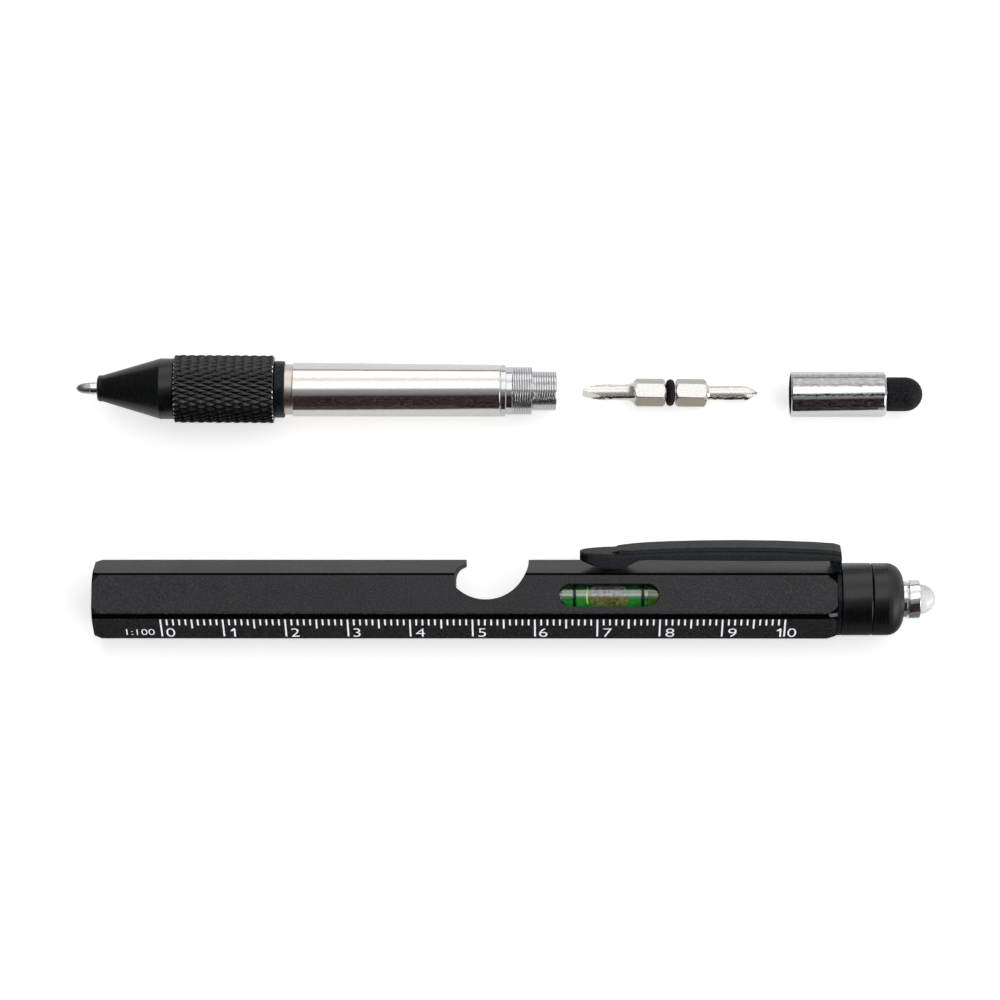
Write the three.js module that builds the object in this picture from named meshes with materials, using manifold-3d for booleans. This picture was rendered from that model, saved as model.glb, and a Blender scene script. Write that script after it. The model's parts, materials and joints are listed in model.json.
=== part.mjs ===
// Multi tool pen, laid out on a table: hexagonal barrel, ballpoint insert, driver bit and stylus cap.
// Millimetres. +X runs from the writing tip to the lamp, +Y from the barrel to the insert, +Z is up.
import * as THREE from 'three';
import { mergeVertices } from 'three/addons/utils/BufferGeometryUtils.js';
import Module from 'manifold-3d';

// Layout on the table
const rowSpacing = 34.4;            // barrel axis to insert axis
const tipLead = 3.71;                // writing tip ahead of the barrel's mouth
const bitSpace = 4.33;              // end of the insert to the bit
const capSpace = 5.23;              // bit to the mouth of the stylus cap
const capAside = 0.54;              // cap's axis nearer the barrel than the insert's

// Clearances
const runningFit = 0.2;             // beside pieces that turn or slide
const seatFit = 0.3;                // between pieces that rest end to end
const ballFit = 0.04;               // round the writing ball
const threadFit = 0.05;             // round the thread that the stylus cap screws on
const stackFit = 0.1;               // between pieces clamped end to end
const overrun = 1.0;                // cutters reach this far past what they cut

// Barrel
const barrelLength = 119.28;
const barrelAcrossFlats = 11.35;
const barrelCornerRadius = 0.95;
const barrelEndRadius = 5.975;      // turned end faces
const mouthTaper = 1.1;             // cone turned on the mouth end
const headTaper = 1.4;              // cone turned on the head end
const mouthRecessDepth = 2.0;
const barrelWeb = 1.0;              // solid left between the insert's bore and the opener notch

// Bottle opener notch, seen from above
const notchRadius = 6.8;
const notchCentreShare = 0.5293;    // of the barrel's length, from the mouth
const notchCentreAcross = 6.1;      // from the barrel's axis
const notchThroat = 5.0;            // notch centre to the wall under the hook
const hookThroatRadius = 1.9;
const hookLip = 1.05;               // thickness of the lip that lifts the crown cap
const hookReach = 1.8;
const hookNoseRadius = 0.3;

// Spirit level
const levelCentreShare = 0.6943;    // of the barrel's length, from the mouth
const levelWindowLength = 16.0;
const levelWindowWidth = 3.7;
const levelPocketDepth = 3.9;
const vialDrop = 0.15;              // top of the vial below the facet
const vialRadius = 1.75;
const vialWall = 0.35;
const vialPlugDepth = 0.4;
const bubbleLength = 6.25;
const bubbleHeight = 0.7;
const bubbleOffset = -0.17;         // where it rests, from the middle of the vial

// Pocket clip
const clipLength = 41.8;            // from its tip to the ring at the barrel's end
const clipWidth = 5.4;
const clipRise = 7.6;               // barrel axis to the arm's underside
const clipThickness = 1.62;
const clipRibHeight = 0.45;
const clipRibWidth = 3.9;
const clipEdgeRadius = 0.42;
const clipEdgeShare = 0.45;         // most that a rounded edge takes of a section
const clipRingThickness = 0.6;
const clipRingRadius = 5.85;
const clipFoldThickness = 0.62;
const clipFoldWidth = 4.2;

// Lamp head
const headRadius = 5.86;
const headSleeveLength = 4.9;
const headSeam = 0.1;
const headSpigotRadius = 4.75;
const headSpigotDepth = 3.0;        // reach into the barrel
const headThreadDepth = 3.9;        // screw cap's spigot inside the sleeve
const headCapLength = 5.12;
const headRoundLength = 2.75;
const headRoundDepth = 3.07;
const headCapWall = 1.5;            // end wall behind the button's hole
const headCapBoreRadius = 3.9;

// Lamp and its button
const buttonNeckRadius = 3.0;
const buttonNeckLength = 0.6;
const buttonGrooveDepth = 0.35;
const buttonGrooveLength = 0.25;
const buttonRingRadius = 3.15;
const buttonRingLength = 1.9;
const buttonRingRound = 0.35;
const buttonFlangeRadius = 3.6;
const buttonFlangeLength = 1.7;
const bulbRadius = 2.4;
const bulbLegRadius = 0.25;
const bulbLegSpacing = 2.54;
const bulbLegLength = 1.2;
const buttonTravel = 1.0;

// Battery and contacts
const cellRadius = 3.95;
const cellThickness = 3.6;
const cellStep = 0.25;              // raised face of the smaller pole
const cellPoleRadius = 3.1;
const cellCount = 4;
const batterySpringLength = 5.7;
const batterySpringRadius = 3.2;
const batterySpringWire = 0.45;
const batterySpringTurns = 4;
const boardRadius = 3.7;
const boardThickness = 0.8;
const boardContactRadius = 1.2;
const boardContactHeight = 0.6;
const switchSide = 2.6;
const switchHeight = 1.9;
const switchPlungerRadius = 0.6;
const buttonSpringRadius = 3.15;
const buttonSpringWire = 0.45;
const buttonSpringTurns = 4;

// Insert: nose cone and refill
const ballRadius = 0.35;
const ballShow = 0.22;              // ball ahead of the tip's lip
const tipLipRadius = 0.45;
const tipConeLength = 2.1;
const tipRadius = 1.0;
const tipLength = 5.9;
const tipShankRadius = 0.8;
const tipShankLength = 3.0;
const noseStart = 3.45;              // front of the nose cone, from the ball
const noseFrontRadius = 2.15;
const noseFrontRound = 0.5;
const noseFrontLength = 0.9;
const noseConeLength = 9.3;
const noseConeRadius = 4.925;
const noseBandRadius = 4.95;
const noseBandLength = 2.2;
const noseWall = 2.6;               // closed front of the nose, round the tip
const noseSpigotRadius = 3.0;
const noseSpigotLength = 4.9;
const refillRadius = 1.5;
const refillWall = 0.5;
const inkRadius = 0.75;
const inkLength = 38.0;

// Insert: grip, handle and bit holder
const gripLength = 16.3;
const gripRadius = 5.535;
const gripRelief = 0.42;            // depth of the knurl
const gripEndChamfer = 0.5;
const gripDiamondsAround = 42;
const gripDiamondsAlong = 5;
const collarRadius = 4.625;
const collarLength = 1.7;
const neckRadius = 4.1;
const neckLength = 1.3;
const handleRadius = 4.4;
const handleTailRadius = 4.225;
const handleLength = 33.65;
const handleBoreRadius = 3.2;
const holderSeatRadius = 3.65;      // bore for the bit holder's shank
const holderSeatLength = 10.9;
const holderRingLength = 0.9;
const holderNeckRadius = 3.85;
const holderNeckLength = 1.35;
const largeThreadRadius = 3.95;
const largeThreadLength = 2.95;
const smallThreadRadius = 3.225;
const smallThreadLength = 3.95;
const threadChamfer = 0.25;
const socketDepth = 18.0;

// Driver bit, measured from the tip of its flat blade
const bitAcrossFlats = 4.0;
const bitSocketFit = 0.2;
const bladeThickness = 0.45;
const bladeTurn = 13.5;             // degrees, from the hexagon's flats
const bladeLength = 3.95;
const bladeShaftRadius = 1.3;
const bladeShaftLength = 6.7;
const bladeShoulder = 2.15;
const bitHexLength = 4.6;
const bitHexChamfer = 0.35;         // turned on each end of a hexagon
const bitGrooveLength = 1.8;
const bitGrooveRadius = 0.8;
const crossShoulder = 1.0;
const crossShaftRadius = 1.2;
const crossShaftLength = 6.0;
const crossPointLength = 1.8;
const crossPointRadius = 0.25;
const crossFluteWidth = 1.0;
const crossWebThickness = 0.42;
const ringCordRadius = 0.7;
const ringStretch = 0.05;           // clear of the groove's floor

// Stylus cap
const sleeveRadius = 3.7;
const sleeveLength = 15.5;
const sleeveEndRound = 0.6;
const sleeveMouthRound = 0.15;
const sleeveEndWall = 0.9;
const studRadius = 1.6;
const studLength = 3.0;
const rubberRadius = 2.785;
const rubberReach = 6.05;            // past the sleeve's end

// Facet counts
const roundSides = 32;
const buttonSides = 24;
const smallSides = 20;
const vialSides = 16;
const tinySides = 12;
const cornerSteps = 2;
const archSteps = 12;
const roundSteps = 4;
const coilStepsPerTurn = 8;
const coilSides = 5;
const cordSides = 8;

const wasm = await Module();
wasm.setup();

const xAxis = new THREE.Vector3(1, 0, 0);
const yAxis = new THREE.Vector3(0, 1, 0);
const zAxis = new THREE.Vector3(0, 0, 1);

// A closed three.js geometry as a solid that can be cut and joined.
function solid(geometry) {
  const bare = geometry.index ? geometry.clone() : geometry;
  bare.deleteAttribute('normal');
  bare.deleteAttribute('uv');
  const merged = mergeVertices(bare);
  const corners = merged.index.array;
  const faces = [];
  for (let i = 0; i < corners.length; i += 3) {
    const [a, b, c] = [corners[i], corners[i + 1], corners[i + 2]];
    if (a !== b && b !== c && c !== a) faces.push(a, b, c);
  }
  return new wasm.Manifold(new wasm.Mesh({
    numProp: 3,
    vertProperties: new Float32Array(merged.attributes.position.array),
    triVerts: new Uint32Array(faces),
  }));
}

function geometryOf(body) {
  const mesh = body.getMesh();
  const geometry = new THREE.BufferGeometry();
  geometry.setAttribute('position', new THREE.BufferAttribute(new Float32Array(mesh.vertProperties), 3));
  geometry.setIndex(new THREE.BufferAttribute(new Uint32Array(mesh.triVerts), 1));
  geometry.computeVertexNormals();
  return geometry;
}

// Revolves [along, radius] points about the X axis. The first and last points lie on the axis.
function turned(profile, sides = roundSides) {
  const points = profile.map(([along, radius]) => new THREE.Vector2(radius, along));
  return new THREE.LatheGeometry(points, sides).rotateZ(-Math.PI / 2);
}

// A turned piece with a hole right through: the bore runs back from the far end to the near one.
function turnedRing(outside, inside, sides = roundSides) {
  const closed = [...outside, ...[...inside].reverse(), outside[0]];
  return turned(closed, sides);
}

const rod = (from, to, radius, sides = smallSides) =>
  turned([[from, 0], [from, radius], [to, radius], [to, 0]], sides);

// Extrudes an outline drawn in (Y, Z) along X.
function prismAlongX(outline, from, to) {
  const geometry = new THREE.ExtrudeGeometry(outline, {
    depth: to - from, bevelEnabled: false, curveSegments: cornerSteps,
  });
  geometry.applyMatrix4(new THREE.Matrix4().makeBasis(yAxis, zAxis, xAxis));
  return geometry.translate(from, 0, 0);
}

// Extrudes an outline drawn in plan, (X, Y), up through Z.
function prismUp(outline, from, to, steps = archSteps) {
  const geometry = new THREE.ExtrudeGeometry(outline, {
    depth: to - from, bevelEnabled: false, curveSegments: steps,
  });
  return geometry.translate(0, 0, from);
}

function block(from, to) {
  const size = new THREE.Vector3().subVectors(to, from);
  const middle = new THREE.Vector3().addVectors(from, to).multiplyScalar(0.5);
  return new THREE.BoxGeometry(size.x, size.y, size.z).translate(middle.x, middle.y, middle.z);
}

// A hexagon with one flat on top and its corners rounded.
function hexagon(acrossFlats, cornerRadius) {
  const outline = new THREE.Shape();
  const cornerCentre = (acrossFlats / 2 - cornerRadius) / Math.cos(Math.PI / 6);
  for (let corner = 0; corner < 6; corner += 1) {
    const angle = corner * Math.PI / 3;
    const [y, z] = [cornerCentre * Math.cos(angle), cornerCentre * Math.sin(angle)];
    if (cornerRadius > 0) {
      outline.absarc(y, z, cornerRadius, angle - Math.PI / 6, angle + Math.PI / 6, false);
    } else if (corner === 0) {
      outline.moveTo(y, z);
    } else {
      outline.lineTo(y, z);
    }
  }
  outline.closePath();
  return outline;
}

// Points along an elliptical arc in (along, radius), its angles counted from the +X direction.
function arc(alongCentre, radiusCentre, alongReach, radiusReach, fromAngle, toAngle, steps = roundSteps) {
  const points = [];
  for (let step = 0; step <= steps; step += 1) {
    const angle = fromAngle + (toAngle - fromAngle) * step / steps;
    points.push([
      alongCentre + alongReach * Math.cos(angle),
      radiusCentre + radiusReach * Math.sin(angle),
    ]);
  }
  return points;
}

// A helical wire about X with flat-cut ends, as one closed tube.
function coil(from, to, startRadius, endRadius, wire, turns) {
  const steps = turns * coilStepsPerTurn;
  const positions = [];
  const faces = [];
  const centres = [];
  for (let step = 0; step <= steps; step += 1) {
    const share = step / steps;
    const angle = share * turns * 2 * Math.PI;
    const along = from + wire / 2 + (to - from - wire) * share;
    const radius = startRadius + (endRadius - startRadius) * share;
    centres.push(new THREE.Vector3(along, radius * Math.cos(angle), radius * Math.sin(angle)));
    for (let side = 0; side < coilSides; side += 1) {
      const turn = side / coilSides * 2 * Math.PI;
      const out = radius + wire / 2 * Math.cos(turn);
      positions.push(along + wire / 2 * Math.sin(turn), out * Math.cos(angle), out * Math.sin(angle));
    }
  }
  for (let step = 0; step < steps; step += 1) {
    for (let side = 0; side < coilSides; side += 1) {
      const next = (side + 1) % coilSides;
      const [a, b] = [step * coilSides + side, step * coilSides + next];
      const [c, d] = [a + coilSides, b + coilSides];
      faces.push(a, c, b, b, c, d);
    }
  }
  const last = steps * coilSides;
  for (let side = 1; side < coilSides - 1; side += 1) {
    faces.push(0, side, side + 1);
    faces.push(last, last + side + 1, last + side);
  }
  let leastGap = Infinity;
  for (let i = 0; i + coilStepsPerTurn / 2 < centres.length; i += 1) {
    for (let j = i + coilStepsPerTurn / 2; j < centres.length; j += 1) {
      leastGap = Math.min(leastGap, centres[i].distanceTo(centres[j]) - wire);
    }
  }
  console.log(`least gap between the turns of a spring: ${leastGap.toFixed(2)} mm`);
  const geometry = new THREE.BufferGeometry();
  geometry.setAttribute('position', new THREE.Float32BufferAttribute(positions, 3));
  geometry.setIndex(faces);
  return geometry;
}

const finishes = {
  anodised: { color: 0x3b3b40, roughness: 0.45, metalness: 0.6 },
  blackCoat: { color: 0x1b1b1d, roughness: 0.4, metalness: 0.3 },
  steel: { color: 0xb9b4ae, roughness: 0.28, metalness: 1.0 },
  chrome: { color: 0xd2d6dc, roughness: 0.08, metalness: 1.0 },
  brass: { color: 0xb08d4a, roughness: 0.35, metalness: 1.0 },
  nickel: { color: 0xc9c3b6, roughness: 0.25, metalness: 1.0 },
  rubber: { color: 0x1a1a1b, roughness: 0.85, metalness: 0.0 },
  clear: { color: 0xe8eef0, roughness: 0.05, metalness: 0.0 },
  levelGreen: { color: 0x3c8c2d, roughness: 0.1, metalness: 0.0 },
  bubble: { color: 0xa9b8a0, roughness: 0.1, metalness: 0.0 },
  ink: { color: 0x10131f, roughness: 0.6, metalness: 0.0 },
  board: { color: 0x1f5a36, roughness: 0.6, metalness: 0.0 },
};

function piece(name, geometry, finish) {
  const mesh = new THREE.Mesh(geometry, new THREE.MeshStandardMaterial(finishes[finish]));
  mesh.name = name;
  return mesh;
}

const cutPiece = (name, body, finish) => piece(name, geometryOf(body), finish);

// Sizes along the insert, from the ball at its tip
const coneStart = noseStart + noseFrontLength;
const noseBandStart = coneStart + noseConeLength;
const noseEnd = noseBandStart + noseBandLength;
const gripStart = noseEnd + stackFit;
const gripEnd = gripStart + gripLength;
const collarEnd = gripEnd + collarLength;
const neckEnd = collarEnd + neckLength;
const handleEnd = neckEnd + handleLength;
const holderStart = handleEnd + stackFit;
const holderRingEnd = holderStart + holderRingLength;
const largeThreadStart = holderRingEnd + holderNeckLength;
const largeThreadEnd = largeThreadStart + largeThreadLength;
const insertEnd = largeThreadEnd + smallThreadLength;
const socketFloor = insertEnd - socketDepth;
const holderShankStart = handleEnd - holderSeatLength + seatFit;
const refillEnd = holderShankStart - seatFit;
const handleStart = gripStart + seatFit;

// Sizes along the bit, from its blade
const shoulderStart = bladeShaftLength;
const hexStart = shoulderStart + bladeShoulder;
const grooveStart = hexStart + bitHexLength;
const grooveEnd = grooveStart + bitGrooveLength;
const hexEnd = grooveEnd + bitHexLength;
const crossShaftStart = hexEnd + crossShoulder;
const crossPointStart = crossShaftStart + crossShaftLength;
const bitLength = crossPointStart + crossPointLength;
const bitFacet = bitAcrossFlats / 2;
const bitCorner = bitFacet / Math.cos(Math.PI / 6);
const bitStub = bitLength - socketDepth + seatFit;
const ringCentre = (grooveStart + grooveEnd) / 2;
const ringRadius = bitGrooveRadius + ringStretch + 2 * ringCordRadius;

// Sizes along the barrel, from its mouth
const notchCentreAlong = barrelLength * notchCentreShare;
const levelCentreAlong = barrelLength * levelCentreShare;
const facet = barrelAcrossFlats / 2;
const barrelCorner = (facet - barrelCornerRadius) / Math.cos(Math.PI / 6) + barrelCornerRadius;
const mouthRecessRadius = collarRadius + runningFit;
const insertBoreRadius = handleRadius + runningFit;
const bushStart = largeThreadStart - gripEnd;
const bushEnd = largeThreadEnd - gripEnd;
const bushSeat = bushEnd + seatFit;
const deepBoreRadius = largeThreadRadius;
const bitReach = insertEnd - gripEnd + bitStub;
const deepBoreEnd = Math.min(bitReach + seatFit, notchCentreAlong - notchThroat - barrelWeb);
const clipRingStart = barrelLength + stackFit;
const clipRingEnd = clipRingStart + clipRingThickness;
const clipStart = clipRingEnd - clipLength;
const headStart = clipRingEnd + stackFit;
const headSleeveEnd = headStart + headSleeveLength;
const headCapStart = headSleeveEnd + headSeam;
const headCapEnd = headCapStart + headCapLength;
const headThreadRadius = headSpigotRadius + runningFit;
const headSpigotStart = barrelLength - headSpigotDepth;
const headThreadStart = headCapStart - headThreadDepth;
const batteryBoreRadius = cellRadius + runningFit;
const capWallStart = headCapEnd - headCapWall;
const flangeEnd = capWallStart - seatFit;
const flangeStart = flangeEnd - buttonFlangeLength;
const buttonNeckEnd = headCapEnd + buttonNeckLength;
const buttonRingStart = buttonNeckEnd + buttonGrooveLength;
const buttonEnd = buttonRingStart + buttonRingLength;
const bulbBoreRadius = bulbRadius + runningFit;
const bulbDomeStart = buttonEnd + stackFit;
const lampEnd = bulbDomeStart + bulbRadius;
const boardStart = headThreadStart + runningFit;
const boardEnd = boardStart + boardThickness;
const boardContactStart = boardStart - boardContactHeight;
const batteryEnd = boardContactStart - seatFit;
const batteryStart = batteryEnd - cellCount * cellThickness - (cellCount - 1) * stackFit;
const batterySpringStart = batteryStart - seatFit - batterySpringLength;
const batteryBoreEnd = batterySpringStart - seatFit;

// Barrel and what is fixed in it
function barrelTube() {
  const stock = solid(prismAlongX(hexagon(barrelAcrossFlats, barrelCornerRadius), 0, barrelLength));
  const envelope = solid(turned([
    [0, 0], [0, barrelEndRadius], [mouthTaper, barrelCorner],
    [barrelLength - headTaper, barrelCorner], [barrelLength, barrelEndRadius], [barrelLength, 0],
  ], roundSides * 2));
  const insertBore = solid(turned([
    [-overrun, 0], [-overrun, mouthRecessRadius], [mouthRecessDepth, mouthRecessRadius],
    [mouthRecessDepth, insertBoreRadius], [bushSeat, insertBoreRadius],
    [bushSeat, deepBoreRadius], [deepBoreEnd, deepBoreRadius], [deepBoreEnd, 0],
  ]));
  const headBoreStart = headSpigotStart - seatFit;
  const batteryBore = solid(turned([
    [batteryBoreEnd, 0], [batteryBoreEnd, batteryBoreRadius], [headBoreStart, batteryBoreRadius],
    [headBoreStart, headThreadRadius], [barrelLength + overrun, headThreadRadius], [barrelLength + overrun, 0],
  ]));
  const notch = solid(prismUp(notchOutline(), -barrelCorner - overrun, barrelCorner + overrun));
  const pocket = solid(prismUp(levelOutline(), facet - levelPocketDepth, facet + overrun));
  const bored = stock.intersect(envelope).subtract(insertBore).subtract(batteryBore);
  return bored.subtract(notch).subtract(pocket);
}

// The opener: a round bite with a hook at its left, open through the back edge of the barrel.
function notchOutline() {
  const wall = notchCentreAlong - notchThroat;
  const lipUnder = barrelCorner - hookLip;
  const lipTip = wall + hookReach;
  const beyond = barrelCorner + overrun;
  const biteStart = -Math.acos(-notchThroat / notchRadius);
  const outline = new THREE.Shape();
  outline.moveTo(lipTip, beyond);
  outline.lineTo(lipTip, lipUnder + hookNoseRadius);
  outline.absarc(lipTip - hookNoseRadius, lipUnder + hookNoseRadius, hookNoseRadius, 0, -Math.PI / 2, true);
  const throatStart = Math.asin((hookThroatRadius - hookReach + hookNoseRadius) / hookThroatRadius);
  outline.absarc(wall + hookThroatRadius, lipUnder - hookThroatRadius, hookThroatRadius,
    Math.PI / 2 + throatStart, Math.PI, false);
  outline.absarc(notchCentreAlong, notchCentreAcross, notchRadius, biteStart, 0, false);
  outline.lineTo(notchCentreAlong + notchRadius, beyond);
  outline.closePath();
  return outline;
}

function levelOutline() {
  const reach = (levelWindowLength - levelWindowWidth) / 2;
  const outline = new THREE.Shape();
  outline.absarc(levelCentreAlong + reach, 0, levelWindowWidth / 2, -Math.PI / 2, Math.PI / 2, false);
  outline.absarc(levelCentreAlong - reach, 0, levelWindowWidth / 2, Math.PI / 2, Math.PI * 1.5, false);
  outline.closePath();
  return outline;
}

function threadBush() {
  const inner = largeThreadRadius + runningFit;
  const outer = insertBoreRadius - runningFit;
  return turnedRing([[bushStart, outer], [bushEnd, outer]], [[bushStart, inner], [bushEnd, inner]]);
}

// Spirit level: a round-ended vial in the pocket, closed by a plug at its right end
const vialHeight = facet - vialDrop - vialRadius;
const vialReach = (levelWindowLength - levelWindowWidth) / 2;
const vialBoreRadius = vialRadius - vialWall;
const liquidRadius = vialBoreRadius - stackFit;
const vialPlugStart = vialReach - vialPlugDepth;
const liquidStart = -vialReach;
const liquidEnd = vialPlugStart - stackFit;

function vialTube() {
  return turned([
    ...arc(-vialReach, 0, vialRadius, vialRadius, Math.PI, Math.PI / 2),
    [vialReach - stackFit, vialRadius], [vialReach - stackFit, vialBoreRadius],
    ...arc(liquidStart, 0, vialBoreRadius, vialBoreRadius, Math.PI / 2, Math.PI),
  ], vialSides);
}

function vialPlug() {
  return turned([
    [vialPlugStart, 0], [vialPlugStart, vialBoreRadius - stackFit], [vialReach, vialBoreRadius - stackFit],
    ...arc(vialReach, 0, vialRadius, vialRadius, Math.PI / 2, 0),
  ], vialSides);
}

const bubbleFloor = liquidRadius - bubbleHeight;

function vialLiquid() {
  const body = solid(turned([
    ...arc(liquidStart, 0, liquidRadius, liquidRadius, Math.PI, Math.PI / 2),
    [liquidEnd, liquidRadius], [liquidEnd, 0],
  ], smallSides));
  const channel = solid(block(
    new THREE.Vector3(liquidStart - overrun, -vialRadius, bubbleFloor - stackFit),
    new THREE.Vector3(liquidEnd + overrun, vialRadius, vialRadius),
  ));
  return body.subtract(channel);
}

function levelBubble() {
  const half = bubbleLength / 2;
  const body = solid(turned([
    ...arc(bubbleOffset - half + liquidRadius / 2, 0, liquidRadius / 2, liquidRadius, Math.PI, Math.PI / 2),
    ...arc(bubbleOffset + half - liquidRadius / 2, 0, liquidRadius / 2, liquidRadius, Math.PI / 2, 0),
  ], smallSides));
  const air = solid(block(
    new THREE.Vector3(bubbleOffset - bubbleLength, -vialRadius, bubbleFloor),
    new THREE.Vector3(bubbleOffset + bubbleLength, vialRadius, vialRadius),
  ));
  return body.intersect(air);
}

// Pocket clip: a spring arm on a ring that the head clamps to the barrel's end
function clipRing() {
  const inner = headSpigotRadius + runningFit;
  return turnedRing([[clipRingStart, clipRingRadius], [clipRingEnd, clipRingRadius]],
    [[clipRingStart, inner], [clipRingEnd, inner]]);
}

// Stations of the arm, as shares of the clip's own sizes: place along it, underside from the pad
// on the facet up to the arm's, top above the arm's underside, width, and width of the rib on top.
const clipStationShares = [
  [0.000, 0.68, 0.48, 0.28, 0.00],
  [0.014, 0.55, 0.53, 0.46, 0.00],
  [0.030, 0.42, 0.52, 0.56, 0.00],
  [0.055, 0.20, 0.54, 0.64, 0.00],
  [0.090, 0.05, 0.56, 0.71, 0.00],
  [0.120, 0.00, 0.56, 0.75, 0.50],
  [0.150, 0.03, 0.58, 0.78, 0.80],
  [0.180, 0.25, 0.62, 0.80, 0.90],
  [0.205, 0.62, 0.66, 0.82, 1.00],
  [0.225, 0.92, 0.71, 0.83, 1.00],
  [0.260, 1.00, 0.78, 0.85, 1.00],
  [0.340, 1.00, 0.88, 0.89, 1.00],
  [0.460, 1.00, 0.97, 0.93, 1.00],
  [0.600, 1.00, 1.00, 0.97, 1.00],
  [0.760, 1.00, 0.95, 0.99, 1.00],
  [0.900, 1.00, 0.80, 1.00, 1.00],
  [0.975, 1.00, 0.66, 1.00, 1.00],
  [1.000, 1.00, 0.46, 1.00, 1.00],
];

// A closed skin through equal rings of points, each ring at its own place along X.
function loft(rings) {
  const count = rings[0].length;
  const positions = rings.flat(2);
  const faces = [];
  for (let ring = 0; ring < rings.length - 1; ring += 1) {
    for (let i = 0; i < count; i += 1) {
      const next = (i + 1) % count;
      const [a, b] = [ring * count + i, ring * count + next];
      const [c, d] = [a + count, b + count];
      faces.push(a, b, c, b, d, c);
    }
  }
  const last = (rings.length - 1) * count;
  for (let i = 1; i < count - 1; i += 1) {
    faces.push(0, i + 1, i);
    faces.push(last, last + i, last + i + 1);
  }
  const geometry = new THREE.BufferGeometry();
  geometry.setAttribute('position', new THREE.Float32BufferAttribute(positions, 3));
  geometry.setIndex(faces);
  return geometry;
}

// A ring of a rounded rectangle, standing across X.
function section(along, width, low, high, edge) {
  const radius = Math.min(edge, width * clipEdgeShare, (high - low) * clipEdgeShare);
  const points = [];
  const corners = [
    [width / 2 - radius, low + radius, -Math.PI / 2], [width / 2 - radius, high - radius, 0],
    [-width / 2 + radius, high - radius, Math.PI / 2], [-width / 2 + radius, low + radius, Math.PI],
  ];
  for (const [y, z, start] of corners) {
    for (let step = 0; step <= cornerSteps; step += 1) {
      const angle = start + step / cornerSteps * Math.PI / 2;
      points.push([along, y + radius * Math.cos(angle), z + radius * Math.sin(angle)]);
    }
  }
  return points;
}

const padSeat = facet + seatFit;

function clipArm() {
  const stations = clipStationShares.map(([alongShare, riseShare, topShare, widthShare, ribShare]) => ({
    along: clipStart + clipLength * alongShare,
    low: padSeat + (clipRise - padSeat) * riseShare,
    high: clipRise + clipThickness * topShare,
    width: clipWidth * widthShare,
    ribWidth: clipRibWidth * ribShare,
  }));
  const arm = solid(loft(stations.map((s) => section(s.along, s.width, s.low, s.high, clipEdgeRadius))));
  const ribStations = stations.filter((s) => s.ribWidth > 0);
  const rib = solid(loft(ribStations.map((s, index) => {
    const rise = index === 0 ? 0 : clipRibHeight;
    return section(s.along, s.ribWidth, s.high - clipEdgeRadius, s.high + rise, clipRibHeight);
  })));
  const foldAt = (along) => section(along, clipFoldWidth, clipRingRadius + seatFit,
    clipRise + clipEdgeRadius, clipEdgeRadius);
  const fold = solid(loft([foldAt(clipRingStart), foldAt(clipRingStart + clipFoldThickness)]));
  return arm.add(rib).add(fold);
}

// Lamp head
function headSleeve() {
  return turnedRing([
    [headSpigotStart, headSpigotRadius], [headStart, headSpigotRadius],
    [headStart, headRadius], [headSleeveEnd, headRadius],
  ], [
    [headSpigotStart, batteryBoreRadius], [headThreadStart - seatFit, batteryBoreRadius],
    [headThreadStart - seatFit, headThreadRadius], [headSleeveEnd, headThreadRadius],
  ]);
}

function headCap() {
  const holeRadius = buttonNeckRadius + runningFit;
  const roundCentre = headRadius - headRoundDepth;
  const lastAngle = Math.asin((holeRadius - roundCentre) / headRoundDepth);
  const roundStart = headCapEnd - headRoundLength;
  const round = arc(roundStart, roundCentre, headRoundLength, headRoundDepth,
    Math.PI / 2, lastAngle, roundSteps + 2);
  return turnedRing([
    [headThreadStart, headSpigotRadius], [headCapStart, headSpigotRadius], [headCapStart, headRadius],
    ...round,
  ], [
    [headThreadStart, headCapBoreRadius], [capWallStart, headCapBoreRadius], [capWallStart, holeRadius],
  ]);
}

function pushButton() {
  const shoulder = arc(buttonEnd - buttonRingRound, buttonRingRadius - buttonRingRound,
    buttonRingRound, buttonRingRound, Math.PI / 2, 0, cornerSteps);
  return turnedRing([
    [flangeStart, buttonFlangeRadius], [flangeEnd, buttonFlangeRadius], [flangeEnd, buttonNeckRadius],
    [buttonNeckEnd, buttonNeckRadius], [buttonNeckEnd, buttonNeckRadius - buttonGrooveDepth],
    [buttonRingStart, buttonNeckRadius - buttonGrooveDepth], [buttonRingStart, buttonRingRadius],
    ...shoulder,
  ], [[flangeStart, bulbBoreRadius], [buttonEnd, bulbBoreRadius]], buttonSides);
}

function ledBulb() {
  const body = solid(turned([
    [flangeStart, 0], [flangeStart, bulbRadius], [bulbDomeStart, bulbRadius],
    ...arc(bulbDomeStart, 0, bulbRadius, bulbRadius, Math.PI / 2, 0),
  ], smallSides));
  const leg = rod(flangeStart - bulbLegLength, flangeStart + bulbLegLength, bulbLegRadius, coilStepsPerTurn);
  const legs = [-1, 1].map((side) => solid(leg.clone().translate(0, side * bulbLegSpacing / 2, 0)));
  return body.add(legs[0]).add(legs[1]);
}

function contactBoard() {
  const plungerEnd = flangeStart - buttonTravel - seatFit;
  const disc = solid(turned([
    [boardContactStart, 0], [boardContactStart, boardContactRadius], [boardStart, boardContactRadius],
    [boardStart, boardRadius], [boardEnd, boardRadius], [boardEnd, 0],
  ], smallSides));
  const housing = solid(block(
    new THREE.Vector3(boardEnd - stackFit, -switchSide / 2, -switchSide / 2),
    new THREE.Vector3(boardEnd + switchHeight, switchSide / 2, switchSide / 2),
  ));
  const plunger = solid(rod(boardEnd, plungerEnd, switchPlungerRadius, tinySides));
  return disc.add(housing).add(plunger);
}

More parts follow.
